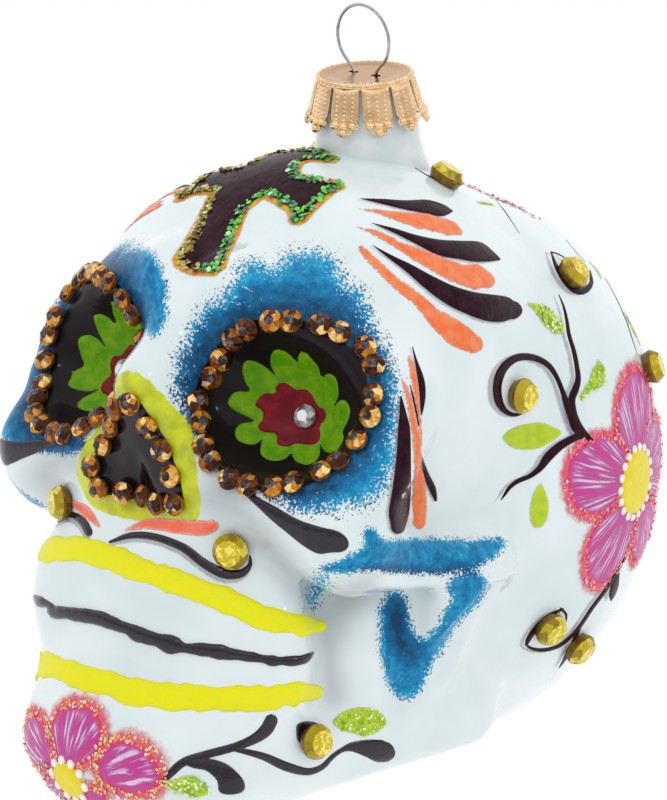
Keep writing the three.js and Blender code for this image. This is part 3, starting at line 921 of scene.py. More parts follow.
@dataclass(frozen=True)
class Glitter:
    """Loose flakes of one mixture, in millimetres."""

    least: float = 0.28
    most: float = 0.5
    rise: float = 0.2
    spread: float = 0.12
    tilt: float = 0.28

    def strew(self, surface: Surface, places: Array, seed: int) -> Shell:
        """Scatter flakes, each at a tilt of its own.

        Args:
            surface: The surface that the places are told on.
            places: Rows of the flakes' middles.
            seed: Where the random numbers start.

        Returns:
            Six-sided flakes, each of which tells a "glint" and a "tone" from 0 to 1.
        """
        chance = np.random.default_rng(seed)
        count = len(places)
        middles, normals = surface.onto(places, self.rise + chance.uniform(-self.spread, self.spread, count))
        axis = unit(normals + chance.normal(0, self.tilt, (count, 3)))
        side = unit(np.cross(axis, chance.normal(0, 1, (count, 3))))
        other = np.cross(axis, side)
        radius = chance.uniform(self.least, self.most, count)[:, None, None] / 2
        corners = circle(FLAKE_SIDES)
        ring = corners[:, :1] * side[:, None] + corners[:, 1:] * other[:, None]
        points = (middles[:, None] + radius * ring).reshape(-1, 3)
        faces = np.arange(count * FLAKE_SIDES).reshape(count, FLAKE_SIDES).tolist()
        facets = {"glint": chance.random(count), "tone": chance.random(count)}
        return Shell(points, faces, {}, facets)


def dots(surface: Surface, places: Array, radius: float, rise_share: float) -> List[Shell]:
    """Domed drops of paint.

    Args:
        surface: The surface that the places are told on.
        places: Rows of the drops' middles.
        radius: The drops' radius, in millimetres.
        rise_share: The drops' height as a share of their radius.

    Returns:
        One shell for each drop, which tells "edge".
    """
    middles, normals = surface.onto(np.array(places, dtype=float))
    return [dome(middle, normal, radius, radius * rise_share) for middle, normal in zip(middles, normals)]


DOME_SIDES = 12
DOME_RISES = np.radians((-20, 8, 34, 60))
ASKEW = np.array((0.31, 0.57, 0.76))


def dome(middle: Array, axis: Array, radius: float, height: float) -> Shell:
    """A domed drop that stands on a point.

    Args:
        middle: The middle of its foot.
        axis: The direction it rises in.
        radius: Its foot's radius.
        height: Its height.

    Returns:
        The drop, which tells "edge".
    """
    side = unit(np.cross(axis, ASKEW))
    ring = circle(DOME_SIDES) @ np.array((side, np.cross(axis, side)))
    rows = [middle + ring * radius * math.cos(a) + axis * height * math.sin(a) for a in DOME_RISES]
    points = np.vstack((*rows, middle + axis * height))
    faces = net_faces(len(rows), DOME_SIDES, closed=True)
    top = (len(rows) - 1) * DOME_SIDES
    faces += [(top + i, top + (i + 1) % DOME_SIDES, len(points) - 1) for i in range(DOME_SIDES)]
    edge = np.append(np.repeat(radius * (1 - np.cos(DOME_RISES)), DOME_SIDES), radius)
    return Shell(points, faces, {"edge": edge})


def turned_profile(profile: Places, sides: int) -> Shell:
    """Turn a profile round the Z axis.

    Args:
        profile: Rows of radius and height; a radius of zero closes the form.
        sides: How many sides it has.

    Returns:
        The turned form, facing out where the profile runs upwards.
    """
    rows = np.array(profile, dtype=float)
    ring = circle(sides)
    points = [np.column_stack((ring * radius, np.full(sides, height))) for radius, height in rows]
    return Shell(np.vstack(points), net_faces(len(rows), sides, closed=True))


def swept_wire(path: Array, radius: float, sides: int) -> Shell:
    """A round wire along a path that lies in the X-Z plane.

    Args:
        path: Rows of points along the wire's middle.
        radius: The wire's radius.
        sides: How many sides it has.

    Returns:
        The wire with closed ends.
    """
    ahead = unit(np.gradient(path, axis=0))
    out = np.cross(ahead, Y_WAY)
    ring = circle(sides)
    flat = ring[:, :1] * out[:, None] + ring[:, 1:] * Y_WAY
    points = (path[:, None] + radius * flat).reshape(-1, 3)
    faces = net_faces(len(path), sides, closed=True)
    last = (len(path) - 1) * sides
    faces += [tuple(range(sides)), tuple(range(last, last + sides))[::-1]]
    return Shell(points, faces)


Term = Union["Signal", float]
Range = Tuple[float, float]


class Signal:
    """A shader socket that can be reckoned with like a number."""

    def __init__(self, graph: "Graph", socket: bpy.types.NodeSocket) -> None:
        """Keep the socket and the graph that it belongs to."""
        self.graph = graph
        self.socket = socket

    def _with(self, operation: str, *others: Term) -> "Signal":
        """Feed the socket and other terms to a Math node."""
        inputs = dict(enumerate((self, *others)))
        return self.graph.node("ShaderNodeMath", {"operation": operation}, inputs)

    def __add__(self, other: Term) -> "Signal":
        """The sum with another term."""
        return self._with("ADD", other)

    __radd__ = __add__

    def __mul__(self, other: Term) -> "Signal":
        """The product with another term."""
        return self._with("MULTIPLY", other)

    __rmul__ = __mul__

    def __sub__(self, other: Term) -> "Signal":
        """What is left when another term is taken off."""
        return self._with("SUBTRACT", other)

    def __rsub__(self, other: float) -> "Signal":
        """What is left of a number when this is taken off."""
        return self * -1.0 + other

    def high(self, other: Term) -> "Signal":
        """The higher of this and another term."""
        return self._with("MAXIMUM", other)

    def swing(self, amount: Term) -> "Signal":
        """How far the value lies from one half, times an amount."""
        return (self - 0.5) * amount

    def between(self, start: float, end: float) -> "Signal":
        """How far the value has gone from a start to an end, softly from 0 to 1."""
        settings = {"interpolation_type": "SMOOTHSTEP"}
        inputs = {"Value": self, "From Min": start, "From Max": end}
        return self.graph.node("ShaderNodeMapRange", settings, inputs)


class Graph:
    """The nodes of one material or of the world."""

    def __init__(self, name: str, kind: str = "materials") -> None:
        """Make the material or world with an empty node tree."""
        self.owner = getattr(bpy.data, kind).new(name)
        self.owner.use_nodes = True
        self.tree = self.owner.node_tree
        self.tree.nodes.clear()

    def node(
        self,
        kind: str,
        settings: Dict[str, Any],
        inputs: Dict[Union[int, str], Any],
        output: Union[int, str] = 0,
    ) -> Signal:
        """Add a node.

        Args:
            kind: The node's type.
            settings: Its properties, set first; "stops" are a colour ramp's places and colours.
            inputs: Values or signals for its sockets, by name or number.
            output: The output that is asked for.

        Returns:
            That output.
        """
        node = self.tree.nodes.new(kind)
        for word, setting in settings.items():
            if word == "stops":
                self._set_stops(node.color_ramp, setting)
            else:
                setattr(node, word, setting)
        for name, given in inputs.items():
            socket = node.inputs[name]
            if isinstance(given, Signal):
                self.tree.links.new(given.socket, socket)
            elif isinstance(given, tuple) and len(given) == 3 and socket.type == "RGBA":
                socket.default_value = (*given, 1.0)
            else:
                socket.default_value = given
        return Signal(self, node.outputs[output])

    @staticmethod
    def _set_stops(ramp: bpy.types.ColorRamp, stops: Sequence[Tuple[float, Colour]]) -> None:
        """Give a colour ramp its stops."""
        while len(ramp.elements) < len(stops):
            ramp.elements.new(1.0)
        for element, (place, colour) in zip(ramp.elements, stops):
            element.position = place
            element.color = (*colour, 1.0)

    def told(self, name: str) -> Signal:
        """A value that the mesh tells under a name."""
        return self.node("ShaderNodeAttribute", {"attribute_name": name}, {}, "Fac")

    def place(self) -> Signal:
        """The place on the piece, in metres."""
        return self.node("ShaderNodeTexCoord", {}, {}, "Object")

    def noise(self, grain: float, detail: float = 2.0, roughness: float = 0.5) -> Signal:
        """Soft noise from 0 to 1, whose lumps have a size in millimetres."""
        scale = MM_PER_METRE / grain
        inputs = {"Vector": self.place(), "Scale": scale, "Detail": detail, "Roughness": roughness}
        return self.node("ShaderNodeTexNoise", {}, inputs, "Fac")

    def brushed(self, across: Signal, along: Signal, seed: float) -> Signal:
        """Noise drawn out along a stroke, from 0 to 1."""
        vector = self.node("ShaderNodeCombineXYZ", {}, {0: across, 1: along, 2: seed})
        inputs = {"Vector": vector, "Scale": 1.0, "Detail": 3.0, "Roughness": 0.6}
        return self.node("ShaderNodeTexNoise", {}, inputs, "Fac")

    def ramp(self, amount: Term, stops: Sequence[Tuple[float, Colour]]) -> Signal:
        """Colours along a value from 0 to 1."""
        return self.node("ShaderNodeValToRGB", {"stops": stops}, {"Fac": amount}, "Color")

    def mix(self, amount: Term, first: Union[Signal, Colour], second: Union[Signal, Colour]) -> Signal:
        """A colour between two, at the first where the amount is 0."""
        return self.node("ShaderNodeMix", {"data_type": "RGBA"}, {0: amount, 6: first, 7: second}, 2)

    def bump(self, height: Signal, distance: float, strength: float) -> Signal:
        """A surface direction from a height whose full range is a distance in millimetres."""
        inputs = {"Height": height, "Distance": distance * METRES_PER_MM, "Strength": strength}
        return self.node("ShaderNodeBump", {}, inputs, "Normal")

    def close(self, shader: Signal, kind: str) -> Any:
        """Lead a shader to the tree's output and hand over the material or world."""
        out = self.tree.nodes.new(kind)
        self.tree.links.new(shader.socket, out.inputs["Surface"])
        return self.owner

    def finish(self, **inputs: Any) -> bpy.types.Material:
        """Close the graph with one principled surface.

        Args:
            inputs: Values or signals for its sockets, with _ for the blanks in their names.

        Returns:
            The material.
        """
        named = {name.replace("_", " "): given for name, given in inputs.items()}
        return self.close(self.node("ShaderNodeBsdfPrincipled", {}, named), "ShaderNodeOutputMaterial")


@dataclass(frozen=True)
class GlassFinish:
    """Pearly white lacquered glass with sprayed colours, and painted shade in its hollows and folds."""

    pale: Colour = (0.69, 0.79, 0.81)
    milky: Colour = (0.78, 0.86, 0.88)
    # Colour of the painted shade beside the nose and along the cheek fold.
    grey: Colour = (0.42, 0.46, 0.49)
    blues: Sequence[Tuple[float, Colour]] = (
        (0.0, (0.12, 0.48, 0.66)), (0.3, (0.012, 0.33, 0.59)), (0.6, (0.003, 0.16, 0.37)),
        (1.0, (0.003, 0.05, 0.13)),
    )
    speck: Colour = (0.008, 0.06, 0.13)
    black: Colour = (0.010, 0.006, 0.009)
    chartreuse: Colour = (0.62, 0.70, 0.01)
    shaded_yellow: Colour = (0.46, 0.50, 0.02)
    cloud_grain: float = 16.0
    cloud_range: Range = (0.35, 0.65)
    painted_shade_range: Range = (0.1, 1.0)
    painted_shade_cover: float = 0.8
    fine_grain: float = 0.36
    ragged_grain: float = 2.4
    dense_grain: float = 1.3
    speck_range: Range = (0.42, 0.55)
    spray_range: Range = (0.0, 0.1)
    dark_speck_range: Range = (0.5, 0.28)
    edge_grain: float = 1.5
    edge_wander: float = 0.6
    yellow_grain: float = 2.0
    yellow_tones: Range = (0.35, 0.7)
    yellow_edge: Range = (-3.5, -3.25)
    socket_edge: Range = (-0.8, -0.6)
    nose_edge: Range = (-0.9, -0.7)
    roughness: float = 0.14
    coat: float = 0.75

    def sprayed(self, graph: Graph, base: Signal) -> Tuple[Signal, Signal]:
        """Spray the blues over a colour, darker where painted shade falls.

        Args:
            graph: The material's nodes.
            base: The colour under the spray.

        Returns:
            The colour with the spray on it, and where the spray's specks lie.
        """
        fine, ragged = graph.noise(self.fine_grain, 2.0, 0.75), graph.noise(self.ragged_grain, 3.0)
        blue = graph.told("blue")
        cover = blue + ragged.swing(0.5) + fine.swing(2.0)
        specks = cover.between(*self.speck_range) * blue.between(*self.spray_range)
        lumps = (graph.noise(self.dense_grain, 3.0, 0.6) - 0.45) * 0.9
        # Where the mesh tells "deep" the blue is painted darker: painted shade in the jaw's groove, under
        # the cheek band's ledge and round the socket rim.
        dense = blue * 0.45 + graph.told("deep") * 0.5 + lumps + fine.swing(0.5)
        tint = graph.mix(blue.between(*self.dark_speck_range), graph.ramp(dense, self.blues), self.speck)
        return graph.mix(specks, base, tint), specks

    def hollowed(self, graph: Graph, base: Signal) -> Tuple[Signal, Signal]:
        """Paint the yellow round the nose and the black in the nose and the sockets.

        Args:
            graph: The material's nodes.
            base: The colour under the paint.

        Returns:
            The colour with the paint on it, and where the black lies.
        """
        wander = graph.noise(self.edge_grain).swing(self.edge_wander)
        nose = graph.told("nose") + wander
        tones = graph.noise(self.yellow_grain, 3.0).between(*self.yellow_tones)
        yellow = graph.mix(tones, self.chartreuse, self.shaded_yellow)
        base = graph.mix(nose.between(*self.yellow_edge), base, yellow)
        socket = (graph.told("socket") + wander).between(*self.socket_edge)
        black = socket.high(nose.between(*self.nose_edge))
        return graph.mix(black, base, self.black), black

    def material(self) -> bpy.types.Material:
        """Make the finish, with painted shade where the mesh tells "deep" and "grey".

        Returns:
            A material for a mesh that tells "blue", "deep", "grey", "socket" and "nose".
        """
        graph = Graph("glass")
        clouds = graph.noise(self.cloud_grain, 3.0)
        base = graph.mix(clouds.between(*self.cloud_range), self.pale, self.milky)
        # Painted shade beside the nose and along the cheek fold, laid under the blue spray.
        grey = (graph.told("grey") + clouds.swing(0.4)).between(*self.painted_shade_range)
        base, specks = self.sprayed(graph, graph.mix(grey * self.painted_shade_cover, base, self.grey))
        base, black = self.hollowed(graph, base)
        relief = graph.noise(9.0, 2.0) + specks * 0.1 + graph.noise(0.8) * 0.02
        return graph.finish(
            Base_Color=base,
            Roughness=self.roughness + graph.noise(0.9, 2.0) * 0.12 + specks * 0.2,
            Normal=graph.bump(relief, 0.8, 0.5),
            Coat_Weight=self.coat * (1 - (black * 0.4).high(specks * 0.8)),
            Coat_Roughness=0.05,
            Specular_IOR_Level=0.1,
        )


@dataclass(frozen=True)
class PaintFinish:
    """Thick paint of one colour that fades to another at its edge."""

    name: str
    colour: Colour
    edge_colour: Colour
    other: Colour
    edge_width: float = 0.3
    fade: float = 0.0
    roughness: float = 0.3
    gloss: float = 0.25
    relief: float = 0.16
    cloud_grain: float = 1.8
    cloud_range: Range = (0.35, 0.68)
    dry_grain: float = 0.4

    def material(self) -> bpy.types.Material:
        """Make the finish for a mesh that tells "edge"."""
        graph = Graph(self.name)
        clouds = graph.noise(self.cloud_grain, 3.0, 0.6)
        base = graph.mix(clouds.between(*self.cloud_range), self.colour, self.other)
        rim = graph.told("edge") + graph.noise(0.8).swing(self.edge_width)
        base = graph.mix(rim.between(0.0, self.edge_width), self.edge_colour, base)
        surface = graph.bump(clouds + graph.noise(0.35) * 0.2, self.relief, 0.8)
        more = {}
        if self.fade:
            dry = graph.told("edge") + graph.noise(self.dry_grain, 2.0, 0.7).swing(self.fade) * 5
            more["Alpha"] = dry.between(0.0, self.fade)
        rough = self.roughness + graph.noise(1.2) * 0.14
        return graph.finish(
            Base_Color=base, Roughness=rough, Normal=surface, Specular_IOR_Level=self.gloss, **more
        )


@dataclass(frozen=True)
class MistFinish:
    """A thin sprayed or soaked-in colour that lets the glass through, also used for the strokes' painted
    shadows.
    """

    name: str
    colour: Colour
    other: Colour
    reach: float
    cover: float
    cloud_grain: float = 1.4
    cloud_range: Range = (0.38, 0.62)
    edge_grain: float = 0.9

    def material(self) -> bpy.types.Material:
        """Make the finish for a mesh that tells "edge"."""
        graph = Graph(self.name)
        clouds = graph.noise(self.cloud_grain, 3.0).between(*self.cloud_range)
        base = graph.mix(clouds, self.colour, self.other)
        soft = graph.told("edge") + graph.noise(self.edge_grain, 3.0).swing(self.reach)
        return graph.finish(Base_Color=base, Roughness=0.4, Alpha=soft.between(0.0, self.reach) * self.cover)


@dataclass(frozen=True)
class GlitterFinish:
    """Loose flakes, each with a colour of its own from a few, with a painted highlight on the brightest."""

    name: str
    stops: Sequence[Tuple[float, Colour]]
    spark: Colour = (1.0, 0.98, 0.92)
    spark_range: Range = (0.8, 1.0)
    spark_cover: float = 0.6
    metal: float = 0.35

    def material(self) -> bpy.types.Material:
        """Make the finish for flakes that tell "glint" and "tone"."""
        graph = Graph(self.name)
        glint = graph.told("glint")
        colour = graph.ramp(graph.told("tone"), self.stops)
        # Painted highlight: the flakes with the highest "glint" turn near-white.
        base = graph.mix(glint.between(*self.spark_range) * self.spark_cover, colour, self.spark)
        return graph.finish(Base_Color=base, Roughness=0.3 + (1 - glint) * 0.2, Metallic=self.metal)


@dataclass(frozen=True)
class StoneFinish:
    """Foil-backed facet glass, whose facet colours, table colours and table sparks are painted reflections
    and highlights.
    """

    name: str
    stops: Sequence[Tuple[float, Colour]]
    table: Colour
    table_spark: Colour
    rim: Colour
    table_share: float
    metal: float = 0.4
    sides: int = 8
    spark_grain: float = 0.75
    spark_range: Range = (0.45, 0.6)
    rim_cover: float = 0.8

    def material(self) -> bpy.types.Material:
        """Make the finish for stones that tell "glint", "table" and "rim" on their faces."""
        graph = Graph(self.name)
        # Each facet is painted bright or dark by its "glint", and the table gets painted sparks: painted
        # reflections and highlights.
        sparks = graph.noise(self.spark_grain, 3.0, 0.7)
        base = graph.ramp(graph.told("glint") + sparks.swing(0.5), self.stops)
        table = graph.mix(sparks.between(*self.spark_range), self.table, self.table_spark)
        base = graph.mix(graph.told("table"), base, table)
        base = graph.mix(graph.told("rim") * self.rim_cover, base, self.rim)
        return graph.finish(Base_Color=base, Roughness=0.14, Metallic=self.metal, Specular_IOR_Level=0.35)


@dataclass(frozen=True)
class MetalFinish:
    """Rolled or drawn metal with fine scratches and soft stains, and painted shade where the mesh tells
    "disc".
    """

    name: str
    colour: Colour
    stain: Colour
    roughness: float
    # Colour painted where the mesh tells "disc": painted shade on the cap's flat top.
    disc: Colour = (0.5, 0.5, 0.5)
    stain_grain: float = 2.4
    stain_range: Range = (0.42, 0.7)
    stain_cover: float = 0.6
    scratch_grain: float = 0.25

    def material(self) -> bpy.types.Material:
        """Make the finish."""
        graph = Graph(self.name)
        stain = graph.noise(self.stain_grain, 4.0, 0.6)
        base = graph.mix(stain.between(*self.stain_range) * self.stain_cover, self.colour, self.stain)
        # Painted shade: the cap's flat disc darker than its petals.
        base = graph.mix(graph.told("disc"), base, self.disc)
        gloss = self.roughness + graph.noise(0.6, 3.0) * 0.16
        surface = graph.bump(graph.noise(self.scratch_grain, 2.0) + stain * 0.6, 0.05, 0.5)
        return graph.finish(Base_Color=base, Roughness=gloss, Metallic=1.0, Normal=surface)


@dataclass(frozen=True)
class PetalFinish:
    """A painted petal: a deep rim and pale brush streaks along its middle."""

    name: str
    rim: Colour
    body: Colour
    other: Colour
    streak: Colour
    streak_range: Range = (0.49, 0.62)
    streak_cover: float = 0.85
    heart_fade: Range = (0.02, 0.3)
    tip_fade: Range = (0.8, 1.0)
    side_fade: Range = (0.3, 1.2)
    rim_range: Range = (0.9, 0.2)

    def material(self) -> bpy.types.Material:
        """Make the finish for a mesh that tells "edge", "along" and "across"."""
        graph = Graph(self.name)
        along, across = graph.told("along"), graph.told("across")
        edge = graph.told("edge") + graph.noise(1.1).swing(0.7)
        broad = graph.brushed(across * 0.9, along * 1.2, 3.0)
        fine = graph.brushed(across * 3.4, along * 1.6, 8.0)
        base = graph.mix(broad.between(0.35, 0.65), self.body, self.other)
        reach = along.between(*self.heart_fade) * (1 - along.between(*self.tip_fade))
        reach = reach * edge.between(*self.side_fade)
        streaks = (fine + broad.swing(0.5)).between(*self.streak_range) * reach
        base = graph.mix(streaks * self.streak_cover, base, self.streak)
        base = graph.mix(edge.between(*self.rim_range), base, self.rim)
        surface = graph.bump(streaks + fine * 0.5, 0.14, 0.8)
        return graph.finish(Base_Color=base, Roughness=0.36, Normal=surface, Specular_IOR_Level=0.4)


@dataclass(frozen=True)
class Spray:
    """A sprayed colour, and likewise a patch of painted shade: its outline in the picture and how far its
    edge fades, in pixels.
    """

    pixels: Places
    softness: float
    mirrored: bool = True


class SkullSkin:
    """The glass head, finely meshed, with the distances that its sprayed colours and its painted shade
    follow.
    """

    EYE_PIXELS = (
        (196, 322), (207, 304), (224, 298), (256, 290), (290, 287), (325, 290), (352, 304), (366, 322),
        (384, 345), (391, 370), (396, 400), (397, 430), (393, 455), (387, 480), (374, 496), (350, 505),
        (322, 510), (300, 509), (282, 502), (262, 492), (243, 482), (226, 470), (206, 452), (193, 438),
        (183, 418), (177, 398), (176, 378), (179, 358), (187, 340),
    )
    BROW_PIXELS = (
        (207, 304), (224, 298), (233, 283), (240, 268), (256, 262), (275, 268), (287, 257), (305, 252),
        (322, 254), (335, 262), (342, 282), (358, 292), (366, 308), (371, 330), (340, 330), (290, 315),
        (240, 315),
    )
    FAR_BROW_PIXELS = (
        (84, 292), (95, 272), (110, 258), (130, 249), (148, 250), (160, 265), (166, 290), (166, 318),
        (156, 335), (146, 330), (143, 310), (135, 290), (115, 278), (98, 285),
    )
    FAR_CHEEK_PIXELS = (
        (0, 424), (16, 408), (50, 424), (92, 444), (80, 453), (45, 453), (18, 447), (3, 438),
    )
    BAND_PIXELS = (
        (318, 571), (330, 564), (345, 558), (360, 550), (365, 543), (362, 534), (370, 527), (378, 532),
        (386, 540), (430, 538), (470, 541), (500, 537), (506, 543), (496, 556), (480, 566), (462, 571),
        (440, 574), (400, 573), (370, 571), (340, 573),
    )
    TAIL_PIXELS = ((320, 574), (330, 578), (322, 592), (312, 604), (305, 602), (311, 588))
    BRANCH_PIXELS = (
        (384, 600), (392, 591), (400, 592), (407, 602), (411, 622), (415, 635), (424, 640), (433, 630),
        (441, 621), (447, 608), (452, 597), (446, 587), (450, 579), (465, 573), (478, 571), (487, 580),
        (485, 592), (475, 606), (461, 620), (450, 636), (440, 651), (432, 664), (425, 682), (418, 694),
        (404, 698), (391, 690), (384, 670), (380, 650), (381, 630), (379, 612),
    )
    # Painted shade in the groove beside the jaw's branch, as deeper blue.
    GROOVE_SHADE_PIXELS = (
        (387, 604), (396, 598), (405, 612), (409, 635), (419, 648), (411, 662), (396, 652), (388, 630),
    )
    # Painted shade under the cheek band's ledge, as deeper blue.
    LEDGE_SHADE_PIXELS = (
        (360, 566), (400, 567), (440, 568), (470, 565), (487, 562), (470, 576), (400, 578), (360, 575),
    )
    # Painted shade beside the nose and along the cheek fold.
    PAINTED_SHADE_PIXELS = (
        (200, 482), (225, 468), (250, 500), (275, 530), (300, 570), (318, 600), (345, 582), (375, 576),
        (375, 600), (350, 622), (340, 660), (345, 700), (322, 700), (316, 650), (298, 600), (262, 560),
        (240, 530), (212, 520), (190, 505),
    )
    COATS = {
        "blue": (
            Spray(EYE_PIXELS, 36.0),
            Spray(BROW_PIXELS, 36.0, False),
            Spray(FAR_BROW_PIXELS, 14.0, False),
            Spray(FAR_CHEEK_PIXELS, 12.0, False),
            Spray(BAND_PIXELS, 11.0),
            Spray(TAIL_PIXELS, 30.0),
            Spray(BRANCH_PIXELS, 14.0),
        ),
        # Painted shade, which darkens the blue.
        "deep": (Spray(GROOVE_SHADE_PIXELS, 18.0), Spray(LEDGE_SHADE_PIXELS, 8.0)),
        # Painted shade beside the nose and along the cheek fold, as grey.
        "grey": (Spray(PAINTED_SHADE_PIXELS, 40.0),),
    }
    FINENESS = 7
    PULL = np.array((0, -0.2, 0))
    MIDDLE_SHARES = (0, -0.21, 0.03)
    CAST_ROUNDS = 60
    EVENING_ROUNDS = 5
    OUTLINE_STEP = 8
    FACING_GAIN = 5
    SOCKET_DEPTH = 40.0
    FRONT_REACH = 20
    FAR_OUTSIDE = -9.0
    SHADE_MIDDLE = 1.5
    SHADE_REACH = 3.5

    def __init__(self, skull: SkullField, view: PhotoView) -> None:
        """Keep the glass's shape and the viewpoint."""
        self.skull = skull
        self.view = view

    def ball(self) -> Tuple[Array, Array]:
        """Evenly spread directions.

        Returns:
            Rows of directions and rows of three corners.
        """
        mesh = bmesh.new()
        bmesh.ops.create_icosphere(mesh, subdivisions=self.FINENESS, radius=1.0)
        points = np.array([tuple(corner.co) for corner in mesh.verts])
        faces = np.array([[corner.index for corner in face.verts] for face in mesh.faces])
        mesh.free()
        return points, faces

    def settled(self, points: Array, faces: Array) -> Array:
        """Even the mesh out along the glass, each point halfway to its neighbours' middle at a time.

        Args:
            points: Rows of points on the glass.
            faces: Rows of three corners.

        Returns:
            The moved points.
        """
        starts = np.concatenate((faces[:, 0], faces[:, 1], faces[:, 2]))
        ends = np.concatenate((faces[:, 1], faces[:, 2], faces[:, 0]))
        amount = np.bincount(starts, minlength=len(points))[:, None]
        for _ in range(self.EVENING_ROUNDS):
            totals = [np.bincount(starts, column[ends], len(points)) for column in points.T]
            points = self.skull.pulled((points + np.stack(totals, axis=1) / amount) / 2)
        return points

    def sprayed(self, spray: Spray, points: Array, normals: Array) -> Array:
        """How strongly a sprayed colour, and likewise a painted shade, covers points.

        Args:
            spray: Where the colour lies.
            points: Rows of points on the glass.
            normals: The glass's outward directions there.

        Returns:
            A cover for each point, 0.5 at the outline.
        """
        turned = np.where((points[:, :1] < 0) & spray.mirrored, -1.0, 1.0)
        flip = turned * np.array((1, 0, 0)) + np.array((0, 1, 1))
        seen = self.view.pixels(points * flip)
        facing = (normals * flip) @ self.view.back
        depth = Outline(closed_path(spray.pixels, self.OUTLINE_STEP)).depth(seen)
        return np.clip(0.5 + depth / spray.softness, 0, 1) * np.clip(facing * self.FACING_GAIN, 0, 1)

    def hollows(self, points: Array) -> Values:
        """How deep points lie inside the rims of the sockets and of the nose's ring.

        Args:
            points: Rows of points on the glass.

        Returns:
            Depths under "socket" and "nose", negative outside and far outside at the back.
        """
        socket = self.skull.socket
        rim = np.array((socket.width / 2, self.SOCKET_DEPTH, socket.height / 2))
        depths = {
            "socket": -lobe_depth(socket.local(self.skull.mirrored(points)), rim),
            "nose": Outline(self.skull.nose.ring_outline()).depth(points[:, (0, 2)]),
        }
        front = points[:, 1] < socket.middle[1] + self.FRONT_REACH
        return {word: np.where(front, depth, self.FAR_OUTSIDE) for word, depth in depths.items()}

    def build(self) -> bpy.types.Object:
        """Make the head's outer skin in place of its solid.

        Returns:
            The skin.
        """
        directions, faces = self.ball()
        directions = unit(directions + self.PULL)
        starts = self.skull.sizes.place(self.MIDDLE_SHARES) + directions * self.skull.sizes.length
        points = self.settled(self.skull.cast(starts, -directions, self.CAST_ROUNDS), faces)
        normals = self.skull.normals(points)
        spots = {
            word: np.max([self.sprayed(spray, points, normals) for spray in sprays], axis=0)
            for word, sprays in self.COATS.items()
        }
        spots.update(self.hollows(points))
        # Painted shade round the socket rim, as deeper blue.
        shade = 1 - np.abs(spots["socket"] + self.SHADE_MIDDLE) / self.SHADE_REACH
        spots["deep"] = np.maximum(spots["deep"], np.clip(shade, 0, 1))
        shell = Shell(points, faces.tolist(), spots)
        skin = make_piece("skull_skin", shell, GlassFinish().material(), Body.SKULL)
        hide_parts("glass_skull")
        return skin


@dataclass
class NeckSizes:
    """The glass neck and its frame, whose heights count from its rim."""

    rim_middle: Tuple[float, float, float] = (0.0, -7.4, 51.597)
    tilt: float = math.radians(4)
    rim_radius: float = 5.8
    base_radius: float = 6.9
    flare_radius: float = 9.0
    bore_radius: float = 4.5
    length: float = 14.0
    cap_height: float = 6.8
    lip: Places = ((0.0, -0.4), (0.25, -0.05), (0.6, 0.0))
    rim_rounding: float = 0.3
    flare_rows: int = 10
    sides: int = 64

    @property
    def axes(self) -> Array:
        """The neck's own X, Y and Z directions, as columns."""
        c, s = math.cos(self.tilt), math.sin(self.tilt)
        return np.array(((1, 0, 0), (0, c, -s), (0, s, c)))

    def placed(self, shell: Shell, rise: float = 0.0) -> Shell:
        """Move a shell from the neck's frame to the head's.

        Args:
            shell: The shell, about the middle of the rim.
            rise: How far it is lifted along the neck.

        Returns:
            The moved shell.
        """
        return shell.turned(self.axes, np.array(self.rim_middle) + self.axes[:, 2] * rise)

    def build(self) -> bpy.types.Object:
        """Make the neck, which is open at its rim.

        Returns:
            The neck.
        """
        bore, waist, foot = self.bore_radius, -self.cap_height, -self.length
        profile = [(bore, foot)] + [(bore + out, height) for out, height in self.lip]
        profile += [(self.rim_radius - self.rim_rounding, 0), (self.rim_radius, -self.rim_rounding)]
        profile.append((self.base_radius, waist))
        for share in np.arange(1, self.flare_rows + 1) / self.flare_rows:
            radius = self.base_radius + (self.flare_radius - self.base_radius) * share**2
            profile.append((radius, waist + (foot - waist) * share))
        shell = turned_profile(profile[::-1], self.sides)
        neck = make_piece("glass_neck", self.placed(shell), MilkGlassFinish().material(), Body.SKULL)
        return neck


@dataclass(frozen=True)
class MilkGlassFinish:
    """Translucent white glass."""

    pale: Colour = (0.66, 0.74, 0.77)
    white: Colour = (0.78, 0.83, 0.85)
    cloud_grain: float = 5.0
    cloud_range: Range = (0.35, 0.65)
    lump_grain: float = 3.5

    def material(self) -> bpy.types.Material:
        """Make the finish."""
        graph = Graph("milk_glass")
        clouds = graph.noise(self.cloud_grain, 3.0)
        base = graph.mix(clouds.between(*self.cloud_range), self.pale, self.white)
        surface = graph.bump(graph.noise(self.lump_grain), 0.3, 0.5)
        return graph.finish(Base_Color=base, Roughness=0.12 + clouds * 0.1, Normal=surface, Coat_Weight=0.3)


@dataclass(frozen=True)
class StoneSeat:
    """Where a stone sits: the middle of its table, its axis, a side and its diameter."""

    middle: Array
    axis: Array
    side: Array
    diameter: float


